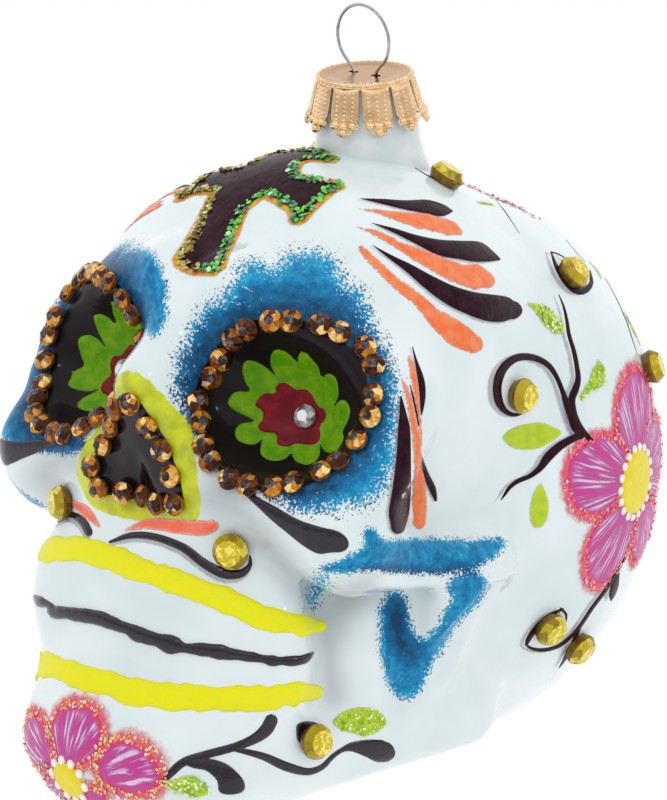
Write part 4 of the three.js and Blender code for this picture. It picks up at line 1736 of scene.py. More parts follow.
@dataclass
class StoneSizes:
    """A brilliant-cut stone: radii and heights above its seat as shares of its diameter."""

    table_share: float = 0.29
    table_rise_share: float = 0.42
    star_share: float = 0.405
    star_rise_share: float = 0.335
    girdle_share: float = 0.5
    girdle_rise_share: float = 0.2
    rim_rise_share: float = 0.13
    foot_share: float = 0.43
    foot_rise_share: float = -0.05
    glint_spread: float = 0.07
    sides: int = 8

    def rings(self, table: float) -> List[Tuple[float, float, int, float]]:
        """Radius share, rise share, corners and turn of each ring of corners, from the table down."""
        half = math.pi / self.sides
        return [
            (table, self.table_rise_share, self.sides, 0.0),
            (self.star_share, self.star_rise_share, self.sides, half),
            (self.girdle_share, self.girdle_rise_share, 2 * self.sides, 0.0),
            (self.girdle_share, self.rim_rise_share, 2 * self.sides, 0.0),
            (self.foot_share, self.foot_rise_share, 2 * self.sides, 0.0),
        ]

    def stone(self, seat: StoneSeat, table: float, seed: int) -> Shell:
        """Cut one stone.

        Args:
            seat: Where it sits.
            table: Its table's radius, as a share of its diameter.
            seed: Where the random numbers of its facets start.

        Returns:
            The stone, whose faces tell "glint", "table" and "rim".
        """
        flat_ways = np.array((seat.side, np.cross(seat.axis, seat.side)))
        foot = seat.middle - seat.axis * self.table_rise_share * seat.diameter
        points = []
        for radius, rise, corners, turn in self.rings(table):
            flat = circle(corners, turn) @ flat_ways
            points.append(foot + seat.diameter * (radius * flat + rise * seat.axis))
        faces = self.facets()
        chance = np.random.default_rng(seed)
        n = self.sides
        # A random brightness for each sector's facets, which the finish paints as reflections.
        sectors = chance.random(n)
        crown = np.concatenate((chance.random(1), sectors, sectors, np.repeat(sectors, 2)))
        loose = chance.random(len(faces) - len(crown))
        kinds = {
            "glint": np.concatenate((crown, loose)) + chance.normal(0, self.glint_spread, len(faces)),
            "table": np.array([1.0] + [0.0] * (len(faces) - 1)),
            "rim": np.array([0.0] * (1 + 4 * n) + [1.0] * (len(faces) - 1 - 4 * n)),
        }
        return Shell(np.vstack(points), faces, {}, kinds)

    def facets(self) -> List[Sequence[int]]:
        """The stone's faces: table, stars, kites, girdle halves, rim and foot."""
        n = self.sides
        star, girdle, rim = n, 2 * n, 4 * n
        faces: List[Sequence[int]] = [tuple(range(n))]
        faces += [(i, star + i, (i + 1) % n) for i in range(n)]
        faces += [(i, star + (i - 1) % n, girdle + 2 * i, star + i) for i in range(n)]
        for i in range(n):
            middle, after = girdle + 2 * i + 1, girdle + (2 * i + 2) % (2 * n)
            faces.append((star + i, girdle + 2 * i, middle))
            faces.append((star + i, middle, after))
        faces += [(a, b, b + 2 * n, a + 2 * n) for start in (girdle, rim) for a, b in self._pairs(start)]
        return faces

    def _pairs(self, start: int) -> List[Tuple[int, int]]:
        """Neighbouring corners round a ring of twice as many corners as sides."""
        count = 2 * self.sides
        return [(start + (i + 1) % count, start + i) for i in range(count)]


class Stones:
    """The glued stones, cut where the solids show their tables."""

    # The facet ramps, table colours and table sparks below are painted reflections and highlights.
    AMBER = StoneFinish(
        "amber_stone",
        stops=(
            (0.0, (0.014, 0.003, 0.001)), (0.38, (0.09, 0.016, 0.003)), (0.6, (0.30, 0.085, 0.006)),
            (0.8, (0.64, 0.27, 0.02)), (1.0, (0.98, 0.72, 0.30)),
        ),
        table=(0.03, 0.02, 0.02),
        table_spark=(0.14, 0.12, 0.13),
        rim=(0.34, 0.12, 0.02),
        table_share=0.22,
    )
    OLIVE = StoneFinish(
        "olive_stone",
        stops=(
            (0.0, (0.24, 0.15, 0.002)), (0.4, (0.38, 0.27, 0.003)), (0.8, (0.54, 0.40, 0.008)),
            (1.0, (0.80, 0.66, 0.08)),
        ),
        table=(0.60, 0.45, 0.005),
        table_spark=(0.95, 0.82, 0.15),
        rim=(0.13, 0.055, 0.008),
        table_share=0.36,
        metal=0.12,
        sides=10,
    )
    CRYSTAL = StoneFinish(
        "crystal_stone",
        stops=(
            (0.0, (0.12, 0.10, 0.12)), (0.4, (0.55, 0.55, 0.60)), (0.7, (0.96, 0.96, 0.98)),
            (1.0, (0.34, 0.30, 0.36)),
        ),
        table=(0.97, 0.97, 0.97),
        table_spark=(1.0, 1.0, 1.0),
        rim=(0.50, 0.42, 0.44),
        table_share=0.24,
    )
    GROUPS = {
        "left_eye_ring": AMBER,
        "right_eye_ring": AMBER,
        "nose_ring": AMBER,
        "eye_crystals": CRYSTAL,
        "large_stones": OLIVE,
    }
    SLOTS = {"amber_stone": "amber_stone", "olive_stone": "olive_stone", "crystal_stone": "crystal"}
    SAME_WAY = 0.9995
    SAME_LEVEL = 0.03
    FIRST_SEED = 7

    def __init__(self, sizes: StoneSizes) -> None:
        """Keep the cut's sizes."""
        self.sizes = sizes

    def seats(self, node: bpy.types.Object, amount: int) -> List[StoneSeat]:
        """Find the stones of a solid by the flat tables on top of them.

        Args:
            node: The solid.
            amount: How many stones it holds, in one row.

        Returns:
            One seat for each stone.
        """
        mesh = node.data
        mesh.calc_loop_triangles()
        places = np.array([tuple(v.co) for v in mesh.vertices]) / METRES_PER_MM + HOOK_POINT
        corners = places[np.array([tuple(t.vertices) for t in mesh.loop_triangles])]
        cross = np.cross(corners[:, 1] - corners[:, 0], corners[:, 2] - corners[:, 0])
        area = np.linalg.norm(cross, axis=1)
        normals = cross / np.maximum(area, TINY)[:, None]
        offset = (normals * corners.mean(axis=1)).sum(axis=1)
        level = np.abs(offset[:, None] - offset) < self.SAME_LEVEL
        flat = (normals @ normals.T > self.SAME_WAY) & level
        best = int(np.argmax(np.where((normals * places.mean(axis=0)).sum(axis=1) > 0, flat @ area, 0)))
        top, axis = corners[flat[best]], normals[best]
        middles = top.mean(axis=1)
        spread = np.linalg.svd(middles - middles.mean(axis=0))[2][0]
        order = (middles - middles.mean(axis=0)) @ spread
        groups = [top] if amount == 1 else [top[order < 0], top[order >= 0]]
        return [self._seat(group.reshape(-1, 3), axis) for group in groups]

    def _seat(self, rim: Array, axis: Array) -> StoneSeat:
        """The seat of the stone whose table has these corners."""
        middle = (rim.min(axis=0) + rim.max(axis=0)) / 2
        out = rim - middle
        reach = np.linalg.norm(out, axis=1)
        side = out[int(np.argmax(reach))]
        side = unit(side - (side @ axis) * axis)
        return StoneSeat(middle, axis, side, float(reach.max()) / self.sizes.table_share)

    def members(self) -> Dict[str, List[str]]:
        """The names of each group's solids."""
        members = {group: [] for group in self.GROUPS}
        for name in sorted(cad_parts):
            if "_eye_stone" in name:
                members[f"{name.split('_')[0]}_eye_ring"].append(name)
            elif name.startswith("nose_stone"):
                members["nose_ring"].append(name)
            elif name.endswith("_crystal"):
                members["eye_crystals"].append(name)
            elif name.endswith("_stone"):
                members["large_stones"].append(name)
        return members

    def build(self) -> None:
        """Make each group of stones in place of its solids."""
        for group, names in self.members().items():
            finish = self.GROUPS[group]
            shells, cut = [], replace(self.sizes, sides=finish.sides)
            for name in names:
                for seat in self.seats(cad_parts[name], 2 if "_stones_" in name else 1):
                    shells.append(cut.stone(seat, finish.table_share, len(shells) + self.FIRST_SEED))
            piece = make_piece(group, joined(shells), finish.material(), Body.SKULL, smooth=False)
            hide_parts(*names)


# The disc colour is painted shade on the cap's flat top, which is the same metal as the petals.
CAP_METAL = MetalFinish(
    "cap_metal", (0.92, 0.64, 0.38), stain=(0.62, 0.37, 0.17), roughness=0.1, disc=(0.42, 0.20, 0.05)
)
WIRE_METAL = MetalFinish("wire_metal", (0.46, 0.46, 0.47), stain=(0.20, 0.20, 0.21), roughness=0.12)


class SkirtSurface(Surface):
    """The cap's flared skirt: places are millimetres across a petal and down from the disc."""

    def __init__(self, cap: "CapSizes", turn: float) -> None:
        """Keep the cap's sizes and where round it the petal stands."""
        self.cap = cap
        self.turn = turn
        self.grain = 1.0

    def onto(self, places: Array, rise: Union[float, Array] = 0.0) -> Tuple[Array, Array]:
        """Points on the skirt's outer side, or above it, and its outward directions."""
        cap = self.cap
        share = places[:, 1] / cap.height
        radius = cap.disc_radius + (cap.tip_radius - cap.disc_radius) * share - cap.sheet / 2
        angle = self.turn + places[:, 0] / radius
        lean = math.atan2(cap.tip_radius - cap.disc_radius, cap.height)
        out = np.column_stack((np.cos(angle), np.sin(angle), np.full(len(places), math.tan(lean))))
        normals = unit(out)
        lifted = normals * np.broadcast_to(rise, len(places))[:, None]
        points = np.column_stack((radius * np.cos(angle), radius * np.sin(angle), -places[:, 1])) + lifted
        return points, normals


@dataclass
class CapSizes:
    """The stamped crown cap, whose heights count from the top of its disc."""

    sheet: float = 0.4
    disc_radius: float = 6.4
    tip_radius: float = 8.2
    height: float = 6.8
    collar: float = 0.9
    petals: int = 10
    petal_width: float = 4.1
    beads: int = 44
    bead_radius: float = 0.36
    slot_spacing: float = 3.9
    slot_length: float = 1.5
    slot_width: float = 0.9
    rise: float = 0.7
    dot_radius: float = 0.27
    ball_radius: float = 0.6
    drop_share: float = 0.9
    sides: int = 96
    rim_inset: float = 0.25
    dish_share: float = 0.62
    dish_width: float = 0.2
    dish_depth: float = 0.16
    net_step: float = 0.5
    net_margin: float = 0.3
    slot_margin: float = 0.12
    wall_reach: float = 0.2
    bead_inset: float = 0.22
    bead_lean: float = 0.7
    collar_offsets: Places = ((-0.08, -0.14), (-0.25, 0.0), (-0.4, -0.02), (-0.7, -0.3))
    outer_coat: Laying = Laying(0.4, 0.1, 0.22, 0.0)
    inner_coat: Laying = Laying(0.4, -0.16, 0.22, 0.0)
    dot_shares: Sequence[float] = (-0.27, 0.0, 0.27)
    dot_rows: Tuple[float, float, int] = (0.12, 0.66, 7)
    ball_shares: Places = ((-0.3, 0.77), (0.3, 0.77), (0.0, 0.79), (0.0, 0.915))
    edge_step: float = 0.3
    edge_shares: Tuple[Tuple[float, float], ...] = (
        (0.45, 0.0), (0.46, 0.18), (0.48, 0.42), (0.47, 0.62), (0.40, 0.69), (0.50, 0.755), (0.46, 0.84),
        (0.30, 0.85), (0.26, 0.93), (0.0, 1.0),
    )

    def disc(self) -> Shell:
        """The disc with its two slots cut through."""
        rim = circle(self.sides) * (self.disc_radius - self.rim_inset)
        slots = [self.slot(side.value) for side in Side]
        dished = Outline(rim).grid(self.net_step, self.net_margin)
        clear = [Outline(slot).depth(dished) < -self.slot_margin for slot in slots]
        dished = dished[np.all(clear, axis=0)]
        places = np.vstack((rim, *slots, dished))
        loops, start = [], 0
        for loop in (rim, *slots):
            loops.append(list(range(start, start + len(loop))))
            start += len(loop)
        edges = [(loop[i], loop[(i + 1) % len(loop)]) for loop in loops[1:] for i in range(len(loop))]
        made = delaunay_2d_cdt([Vector(place) for place in places], edges, [loops[0]], 1, SAME_PLACE / 10)
        flat = np.array([tuple(place) for place in made[0]])
        middles = np.array([flat[list(face)].mean(axis=0) for face in made[2]])
        solid = np.all([~Outline(slot).holds(middles) for slot in slots], axis=0)
        faces = [tuple(face) for face, kept in zip(made[2], solid) if kept]
        radius = np.linalg.norm(flat, axis=1) / self.disc_radius
        bowl = np.clip((radius - self.dish_share) / self.dish_width, 0, 1)
        points = np.column_stack((flat, self.dish_depth * bowl**2 - self.dish_depth))
        top = facing_out(Shell(points, faces), np.broadcast_to(Z_WAY, points.shape))
        walls = [self.slot_wall(slot) for slot in slots]
        return joined([top, *walls])

    def slot(self, side: float) -> Array:
        """The outline of one slot."""
        angles = np.linspace(-math.pi / 2, math.pi / 2, 9)
        half = (self.slot_length - self.slot_width) / 2
        end = np.column_stack((np.cos(angles), np.sin(angles))) * self.slot_width / 2 + (half, 0)
        return np.vstack((end, -end)) + np.array((side * self.slot_spacing / 2, 0))

    def slot_wall(self, slot: Array) -> Shell:
        """The sheet's cut edge round one slot."""
        levels = (-self.dish_depth - 0.01, -self.sheet - self.wall_reach)
        points = np.vstack([np.column_stack((slot, np.full(len(slot), level))) for level in levels])
        return Shell(points, net_faces(2, len(slot), closed=True))

    def collar_ring(self) -> Shell:
        """The folded rim under the disc."""
        outer, inner = self.disc_radius, self.disc_radius - self.sheet
        profile = [(inner, -self.collar), (outer - 0.02, -self.collar), (outer, -self.collar / 2)]
        profile += [(outer + out, height) for out, height in self.collar_offsets]
        return turned_profile(profile, self.sides)

    def rim_beads(self) -> List[Shell]:
        """The embossed beads round the disc's rim."""
        shells = []
        height = self.bead_radius * self.drop_share
        for place in circle(self.beads, math.pi / self.beads):
            out = np.append(place, 0.0)
            middle = out * (self.disc_radius - self.bead_inset) - Z_WAY * self.bead_inset
            shells.append(dome(middle, unit(out + Z_WAY * self.bead_lean), self.bead_radius, height))
        return shells

    def petal(self, turn: float) -> List[Shell]:
        """One petal with its embossed dots and the balls at its foot."""
        surface = SkirtSurface(self, turn)
        root, length = self.collar / 2, self.height - self.collar / 2
        right = np.array([(x * self.petal_width, root + y * length) for x, y in self.edge_shares])
        rows = smooth_path(right, self.edge_step)
        outline = Outline(np.vstack((rows, rows[-2::-1] * np.array((-1, 1)))))
        inner = patch(surface, outline, self.inner_coat)
        inner = Shell(inner.points, [tuple(reversed(face)) for face in inner.faces], inner.spots)
        shells = [patch(surface, outline, self.outer_coat), inner]
        small = [(x, y) for x in self.dot_shares for y in np.linspace(*self.dot_rows)]
        for shares, radius in ((small, self.dot_radius), (self.ball_shares, self.ball_radius)):
            places = np.array(shares) * (self.petal_width, length) + (0, root)
            shells += dots(surface, places, radius, self.drop_share)
        return shells

    def build(self, neck: NeckSizes) -> bpy.types.Object:
        """Make the whole cap in place of its solid.

        Args:
            neck: The neck that it stands on.

        Returns:
            The cap.
        """
        shells = [self.disc(), self.collar_ring(), *self.rim_beads()]
        for i in range(self.petals):
            shells += self.petal(2 * math.pi * i / self.petals)
        for number, shell in enumerate(shells):
            # The disc's shell tells "disc" for its painted shade.
            shell.spots = {"disc": np.full(len(shell.points), 0.9 * (number == 0))}
        whole = neck.placed(joined(shells), self.rise)
        cap = make_piece("stamped_cap", whole, CAP_METAL.material(), Body.CAP)
        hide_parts("crown_cap")
        return cap


@dataclass
class HangerSizes:
    """The sprung wire hanger, whose heights count from the top of the cap's disc."""

    wire: float = 0.5
    loop_width: float = 9.5
    loop_height: float = 9.4
    straight: float = 3.0
    leg: float = 12.5
    waist: float = 1.95
    spread: float = 2.0
    leg_shares: Places = ((0.85, 1.0), (0.95, 0.68), (0.6, 0.35))
    loop_degrees: Tuple[int, int, int] = (-36, 90, 18)
    path_step: float = 0.22
    radius_share: float = 0.43
    sides: int = 14

    def path(self) -> Array:
        """Points along the wire's middle, in its X-Z plane."""
        radius = (self.loop_width - self.wire) / 2
        middle = self.loop_height - self.wire / 2 - radius
        drop = self.leg - self.straight
        half = [
            (self.waist + out * self.spread, -self.straight - down * drop) for out, down in self.leg_shares
        ]
        half += [(self.waist, -self.straight), (self.waist, 0.0)]
        for angle in np.radians(range(*self.loop_degrees)):
            half.append((radius * math.cos(angle), middle + radius * math.sin(angle)))
        whole = half + [(0.0, middle + radius)] + [(-x, z) for x, z in reversed(half)]
        rows = smooth_path(whole, self.path_step)
        return np.column_stack((rows[:, 0], np.zeros(len(rows)), rows[:, 1]))

    def build(self, neck: NeckSizes, rise: float) -> bpy.types.Object:
        """Make the wire in place of its solid.

        Args:
            neck: The neck that the wire hangs it by.
            rise: Height of the cap's disc above the neck's rim.

        Returns:
            The wire.
        """
        shell = swept_wire(self.path(), self.wire * self.radius_share, self.sides)
        wire = make_piece("sprung_wire", neck.placed(shell, rise), WIRE_METAL.material(), Body.HANGER)
        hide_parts("hanger_wire")
        return wire


BLACK = PaintFinish(
    "black_paint",
    (0.018, 0.004, 0.008),
    edge_colour=(0.03, 0.006, 0.010),
    other=(0.036, 0.009, 0.018),
    roughness=0.22,
    gloss=0.06,
)
ORANGE = PaintFinish(
    "orange_paint",
    (0.88, 0.16, 0.04),
    edge_colour=(0.90, 0.36, 0.22),
    other=(0.86, 0.26, 0.10),
    edge_width=0.5,
    fade=0.3,
    relief=0.1,
)
YELLOW = PaintFinish("yellow_paint", (0.80, 0.80, 0.004), (0.68, 0.70, 0.04), (0.86, 0.80, 0.004))
CORAL = PaintFinish(
    "coral_paint",
    (0.90, 0.15, 0.09),
    edge_colour=(0.93, 0.40, 0.32),
    other=(0.88, 0.22, 0.14),
    edge_width=0.6,
    fade=0.2,
    relief=0.05,
)
LIME = PaintFinish(
    "lime_paint", (0.50, 0.66, 0.03), (0.62, 0.74, 0.20), (0.42, 0.56, 0.02), fade=0.15, relief=0.08
)
GREEN = PaintFinish("green_paint", (0.10, 0.34, 0.003), (0.16, 0.38, 0.01), (0.22, 0.44, 0.006), gloss=0.12)
THICK_BLACK = PaintFinish(
    "thick_black_paint",
    (0.008, 0.004, 0.012),
    edge_colour=(0.03, 0.010, 0.006),
    other=(0.012, 0.006, 0.02),
    roughness=0.06,
    gloss=0.5,
)
CRIMSON = PaintFinish(
    "crimson_paint", (0.16, 0.003, 0.012), (0.30, 0.01, 0.02), (0.26, 0.008, 0.016), gloss=0.15
)
WHITE = PaintFinish(
    "white_paint", (0.90, 0.90, 0.88), (0.84, 0.84, 0.80), (0.95, 0.95, 0.93), edge_width=0.1
)
GOLD = PaintFinish("gold_paint", (0.82, 0.66, 0.01), (0.78, 0.50, 0.02), (0.84, 0.72, 0.05))
PETAL = PetalFinish(
    "petal_paint",
    rim=(0.66, 0.04, 0.15),
    body=(0.56, 0.03, 0.25),
    other=(0.46, 0.07, 0.35),
    streak=(0.84, 0.62, 0.82),
)
SHADOW = MistFinish("paint_shadow", (0.26, 0.23, 0.27), (0.36, 0.35, 0.38), reach=0.35, cover=0.4)
EMBER = MistFinish("ember_halo", (0.86, 0.22, 0.03), (0.70, 0.50, 0.01), reach=0.5, cover=0.95)
BLUSH = MistFinish("blush_halo", (0.90, 0.16, 0.18), (0.84, 0.08, 0.20), reach=1.7, cover=0.95)
LILAC = PaintFinish("lilac_paint", (0.20, 0.10, 0.16), (0.50, 0.30, 0.42), (0.42, 0.20, 0.34), fade=0.1)

ROSE_GLITTER = GlitterFinish(
    "rose_glitter", (
        (0.0, (0.85, 0.10, 0.14)), (0.4, (0.92, 0.26, 0.26)), (0.7, (0.85, 0.14, 0.32)),
        (1.0, (0.98, 0.70, 0.60)),
    )
)
SUN_GLITTER = GlitterFinish(
    "sun_glitter", (
        (0.0, (0.90, 0.16, 0.10)), (0.35, (0.90, 0.40, 0.12)), (0.65, (0.85, 0.74, 0.25)),
        (1.0, (0.96, 0.93, 0.80)),
    )
)
TEAL_GLITTER = GlitterFinish(
    "teal_glitter", (
        (0.0, (0.01, 0.12, 0.10)), (0.3, (0.05, 0.48, 0.03)), (0.6, (0.22, 0.80, 0.05)),
        (0.8, (0.07, 0.10, 0.22)), (1.0, (0.14, 0.60, 0.12)),
    )
)
BRONZE_GLITTER = GlitterFinish(
    "bronze_glitter", (
        (0.0, (0.12, 0.03, 0.02)), (0.35, (0.42, 0.20, 0.04)), (0.65, (0.56, 0.50, 0.04)),
        (1.0, (0.12, 0.44, 0.05)),
    )
)
LIME_GLITTER = GlitterFinish(
    "lime_glitter", (
        (0.0, (0.22, 0.50, 0.01)), (0.45, (0.48, 0.72, 0.04)), (0.75, (0.62, 0.84, 0.22)),
        (1.0, (0.90, 0.96, 0.70)),
    )
)


class Paintwork:
    """Paint and glitter on the glass, kept by piece until it is all laid."""

    BOTH = (Side.LEFT, Side.RIGHT)
    DRAWN = (Side.LEFT,)
    OTHER = (Side.RIGHT,)
    THIN = Laying(0.55, 0.16, 0.3)
    BRUSHED = Laying(0.5, 0.12, 0.3, 0.06, ragged=0.12)
    # How the strokes' painted shadows lie on the glass.
    PAINTED_SHADOW_LAYING = Laying(0.7, 0.05, 0.1, 0.0)
    SHADOW_WIDENING = 1.5
    FIRST_SEED = 11
    PATH_STEP = 0.2

    def __init__(self, skull: SkullField, view: PhotoView) -> None:
        """Start with nothing laid."""
        self.skull = skull
        self.picture = PictureSurface(skull, view)
        self.coats: Dict[str, Tuple[Any, List[Shell]]] = {}
        self.seed = self.FIRST_SEED

    def lay(self, group: str, finish: Any, shells: Sequence[Shell], sides: Sequence[Side] = BOTH) -> None:
        """Add shells to a group of one finish.

        Args:
            group: The piece that they will be part of.
            finish: The piece's finish.
            shells: The shells, as they are drawn on the side of +X.
            sides: The sides of the head that get them.
        """
        laid = self.coats.setdefault(group, (finish, []))[1]
        for side in sides:
            laid.extend(shell if side is Side.LEFT else shell.mirrored() for shell in shells)

    def spot(self, rows: Places) -> SpotSurface:
        """The glass about the middle of places of the picture."""
        middle = np.array(rows, dtype=float)[:, :2].mean(axis=0)
        return SpotSurface(self.skull, self.picture.onto(middle[None])[0][0])

    def carried(self, rows: Places, spot: SpotSurface) -> Array:
        """Turn places of the picture into places about a spot.

        Args:
            rows: A column, a row and perhaps a width of each place, in pixels.
            spot: The spot.

        Returns:
            The same rows in the spot's millimetres.
        """
        given = np.array(rows, dtype=float)
        points = self.picture.onto(given[:, :2])[0] - spot.middle
        return np.column_stack((points @ spot.right, points @ spot.up, given[:, 2:] / self.picture.grain))

    def edge_strokes(self, group: str, finish: Any, paths: Sequence[Places]) -> None:
        """Paint strokes on both sides that the picture shows nearly from the side.

        Args:
            group: The piece that they will be part of.
            finish: The piece's finish.
            paths: For each stroke, rows of a column, a row and a width.
        """
        spots = [self.spot(path) for path in paths]
        shells = [ribbon(spot, self.carried(path, spot), self.THIN) for spot, path in zip(spots, paths)]
        self.lay(group, finish, shells)

    def strokes(
        self,
        group: str,
        finish: Any,
        paths: Sequence[Places],
        sides: Sequence[Side] = BOTH,
        shadow: Tuple[float, float] = (0.0, 0.0),
        laying: Laying = THIN,
    ) -> None:
        """Paint strokes along paths that are told in the picture.

        Args:
            group: The piece that they will be part of.
            finish: The piece's finish.
            paths: For each stroke, rows of a column, a row and a width.
            sides: The sides of the head that get them.
            shadow: How far aside their shadow in the glass falls, in pixels; none if zero.
            laying: How the strokes lie.
        """
        self.lay(group, finish, [ribbon(self.picture, path, laying) for path in paths], sides)
        if any(shadow):
            moved = [np.array(path, dtype=float) + (*shadow, self.SHADOW_WIDENING) for path in paths]
            shades = [ribbon(self.picture, path, self.PAINTED_SHADOW_LAYING) for path in moved]
            self.lay("paint_shadows", SHADOW, shades, sides)

    def shape(
        self,
        group: str,
        finish: Any,
        rows: Places,
        sides: Sequence[Side] = BOTH,
        laying: Laying = THIN,
    ) -> Outline:
        """Paint a shape inside an outline that is told in the picture.

        Args:
            group: The piece that it will be part of.
            finish: The piece's finish.
            rows: The outline's columns and rows of the picture.
            sides: The sides of the head that get it.
            laying: How the paint lies.

        Returns:
            The smoothed outline.
        """
        outline = Outline(closed_path(rows, self.THIN.step * self.picture.grain))
        self.lay(group, finish, [patch(self.picture, outline, laying)], sides)
        return outline

    def strew(
        self,
        group: str,
        finish: Any,
        surface: Surface,
        places: Array,
        glitter: Glitter,
        sides: Sequence[Side] = BOTH,
    ) -> None:
        """Scatter glitter over places."""
        self.seed += 1
        if len(places):
            self.lay(group, finish, [glitter.strew(surface, places, self.seed)], sides)

    def strew_along(
        self, group: str, finish: Any, rows: Places, spread: float, amount: int, glitter: Glitter
    ) -> None:
        """Scatter glitter on both sides along a path in the picture.

        Args:
            group: The piece that the flakes will be part of.
            finish: The flakes' finish.
            rows: The path's columns and rows of the picture.
            spread: How far from the path they fall, in millimetres.
            amount: How many there are.
            glitter: The flakes' sizes.
        """
        chance = np.random.default_rng(self.seed)
        spot = self.spot(rows)
        path = smooth_path(self.carried(rows, spot), self.PATH_STEP)[:, :2]
        places = path[chance.integers(0, len(path), amount)] + chance.normal(0, spread, (amount, 2))
        self.strew(group, finish, spot, places, glitter)

    def build(self) -> None:
        """Turn every group into one piece."""
        for group, (finish, shells) in self.coats.items():
            flat = isinstance(finish, GlitterFinish)
            make_piece(group, joined(shells), finish.material(), Body.SKULL, smooth=not flat)


class BrowCross:
    """The black cross on the forehead with its coloured halo, in millimetres about a spot on the brow."""

    MIDDLE = np.array((0.0, -28.0, 44.0))
    OUTLINE = (
        (-2.7, -16.6), (1.2, -16.9), (5.0, -16.4), (0.8, -10.4), (-1.6, -4.9), (-1.5, -3.1), (-0.3, -1.0),
        (3.6, -1.8), (5.2, -2.3), (6.8, -3.8), (7.6, -3.5), (7.6, -0.3), (7.5, 3.4), (7.5, 4.8), (3.2, 4.0),
        (0.7, 4.1), (-1.1, 6.7), (-0.3, 8.4), (2.6, 9.5), (-0.5, 10.9), (-4.0, 11.6), (-8.0, 11.2),
        (-12.4, 12.2), (-10.6, 9.6), (-9.8, 6.8), (-10.8, 4.8), (-13.2, 4.4), (-15.4, 4.2), (-15.0, 0.6),
        (-15.2, -3.1), (-14.2, -3.2), (-12.9, -1.8), (-9.5, -1.6), (-8.7, -3.6), (-7.1, -7.2),
        (-3.6, -13.1), (-2.9, -16.2),
    )
    CORAL_PIXELS = ((133, 220, 3), (147, 210, 8), (158, 203, 6))
    EDGE_STEP = 0.6
    HALO_REACH = 1.0
    HALO_COAT = Laying(0.6, 0.07, 0.4, 0.0)
    COAT = Laying(0.55, 0.24, 0.4)
    FLAKES = Glitter(0.45, 0.85, 0.34)
    FLAKE_COUNT = 800
    FLAKE_DEPTHS = (-0.3, 0.95)
    FLAKE_SEED = 5
    SPINE_FOOT = (1.2, -17)
    SPINE_SLOPE = 0.36

    def paint(self, work: Paintwork) -> None:
        """Lay the cross, its halo and its flakes.

        Args:
            work: The paintwork that it belongs to.
        """
        brow = SpotSurface(work.skull, self.MIDDLE)
        outline = Outline(closed_path(self.OUTLINE, self.EDGE_STEP))
        halo = outline.grown(self.HALO_REACH)
        work.lay("cross_halo", EMBER, [patch(brow, halo, self.HALO_COAT)], work.DRAWN)
        work.lay("cross", BLACK, [patch(brow, outline, self.COAT)], work.DRAWN)
        edge = outline.strewn(self.FLAKE_COUNT, *self.FLAKE_DEPTHS, self.FLAKE_SEED)
        foot_across, foot_up = self.SPINE_FOOT
        spine = foot_across - self.SPINE_SLOPE * (np.minimum(edge[:, 1], 0) - foot_up)
        for name, finish, places in (
            ("cross_teal_flakes", TEAL_GLITTER, edge[edge[:, 0] > spine]),
            ("cross_bronze_flakes", BRONZE_GLITTER, edge[edge[:, 0] <= spine]),
        ):
            work.strew(name, finish, brow, places, self.FLAKES, work.DRAWN)
        work.strokes("coral_strokes", CORAL, [self.CORAL_PIXELS], work.DRAWN)


class Feathers:
    """Three pairs of feather strokes beside the brow."""

    BLACK_PIXELS = (
        (
            (360, 198.5, 0.5), (385, 202, 6), (405, 205, 10), (425, 206.5, 15), (440, 210, 14),
            (448, 211, 8), (452, 211, 2),
        ),
        (
            (372, 223, 0.5), (395, 231, 5), (415, 239, 9), (440, 247.5, 17), (460, 250, 20), (478, 252, 22),
            (490, 256, 13), (499, 259, 3),
        ),
        (
            (372, 245, 0.5), (392, 258, 5), (410, 269, 10), (430, 283, 16), (450, 295, 21), (470, 303, 25),
            (490, 308, 29), (505, 309, 27), (512, 310, 20),
        ),
    )
    ORANGE_PIXELS = (
        (
            (358, 209, 1), (380, 212, 6), (400, 217, 12), (420, 221, 17), (440, 225, 18), (451, 228, 16),
            (459, 232, 8),
        ),
        (
            (357, 227, 1), (380, 235, 8), (400, 246, 10), (420, 256, 15), (440, 266, 20), (460, 274, 22),
            (475, 277, 27), (485, 280, 20),
        ),
        (
            (361, 249, 7), (368, 256, 10), (382, 270, 10), (400, 286, 12), (418, 300, 14), (436, 318, 20),
            (452, 330, 26), (464, 339, 27), (473, 344, 20),
        ),
    )

    SHADOW_PIXELS = (-2.0, 1.5)

    def paint(self, work: Paintwork) -> None:
        """Lay the strokes on both sides."""
        work.strokes("orange_feathers", ORANGE, self.ORANGE_PIXELS, laying=work.BRUSHED)
        work.strokes("black_feathers", BLACK, self.BLACK_PIXELS, shadow=self.SHADOW_PIXELS)


class TempleStrokes:
    """Black and orange strokes at the temple, beside the eye."""

    BLACK_PIXELS = (
        (
            (401, 397, 2), (403, 415, 8), (404, 430, 13), (403.5, 460, 16), (401.5, 490, 20),
            (399, 512, 22), (398, 526, 16),
        ),
        ((412.5, 347, 1), (416, 361, 3), (421, 380, 7), (422.5, 395, 6.5), (422, 407, 4), (421.5, 415, 1)),
        ((410, 385, 1), (415, 405, 2.5), (419, 425, 2.5)),
        ((420.6, 454, 1), (426, 474, 6), (432.5, 489, 7.5), (435.6, 500, 3)),
    )
    ORANGE_PIXELS = (
        (
            (400, 375, 1), (407, 392, 6), (411, 411, 7), (416, 436, 9), (417.5, 455, 9), (419, 480, 13),
            (419.5, 505, 17), (419, 522, 15),
        ),
        ((409, 357, 4), (412.5, 371, 8), (416, 392, 7), (419, 417, 5), (420.6, 442, 3), (420, 455, 1)),
    )
    SHADOW_PIXELS = (-2.5, 0.5)
    RAGGED = 0.1

    def paint(self, work: Paintwork) -> None:
        """Lay the strokes on both sides."""
        laying = replace(work.BRUSHED, ragged=self.RAGGED)
        work.strokes("orange_temple_strokes", ORANGE, self.ORANGE_PIXELS, laying=laying)
        work.strokes("black_temple_strokes", BLACK, self.BLACK_PIXELS, shadow=self.SHADOW_PIXELS)


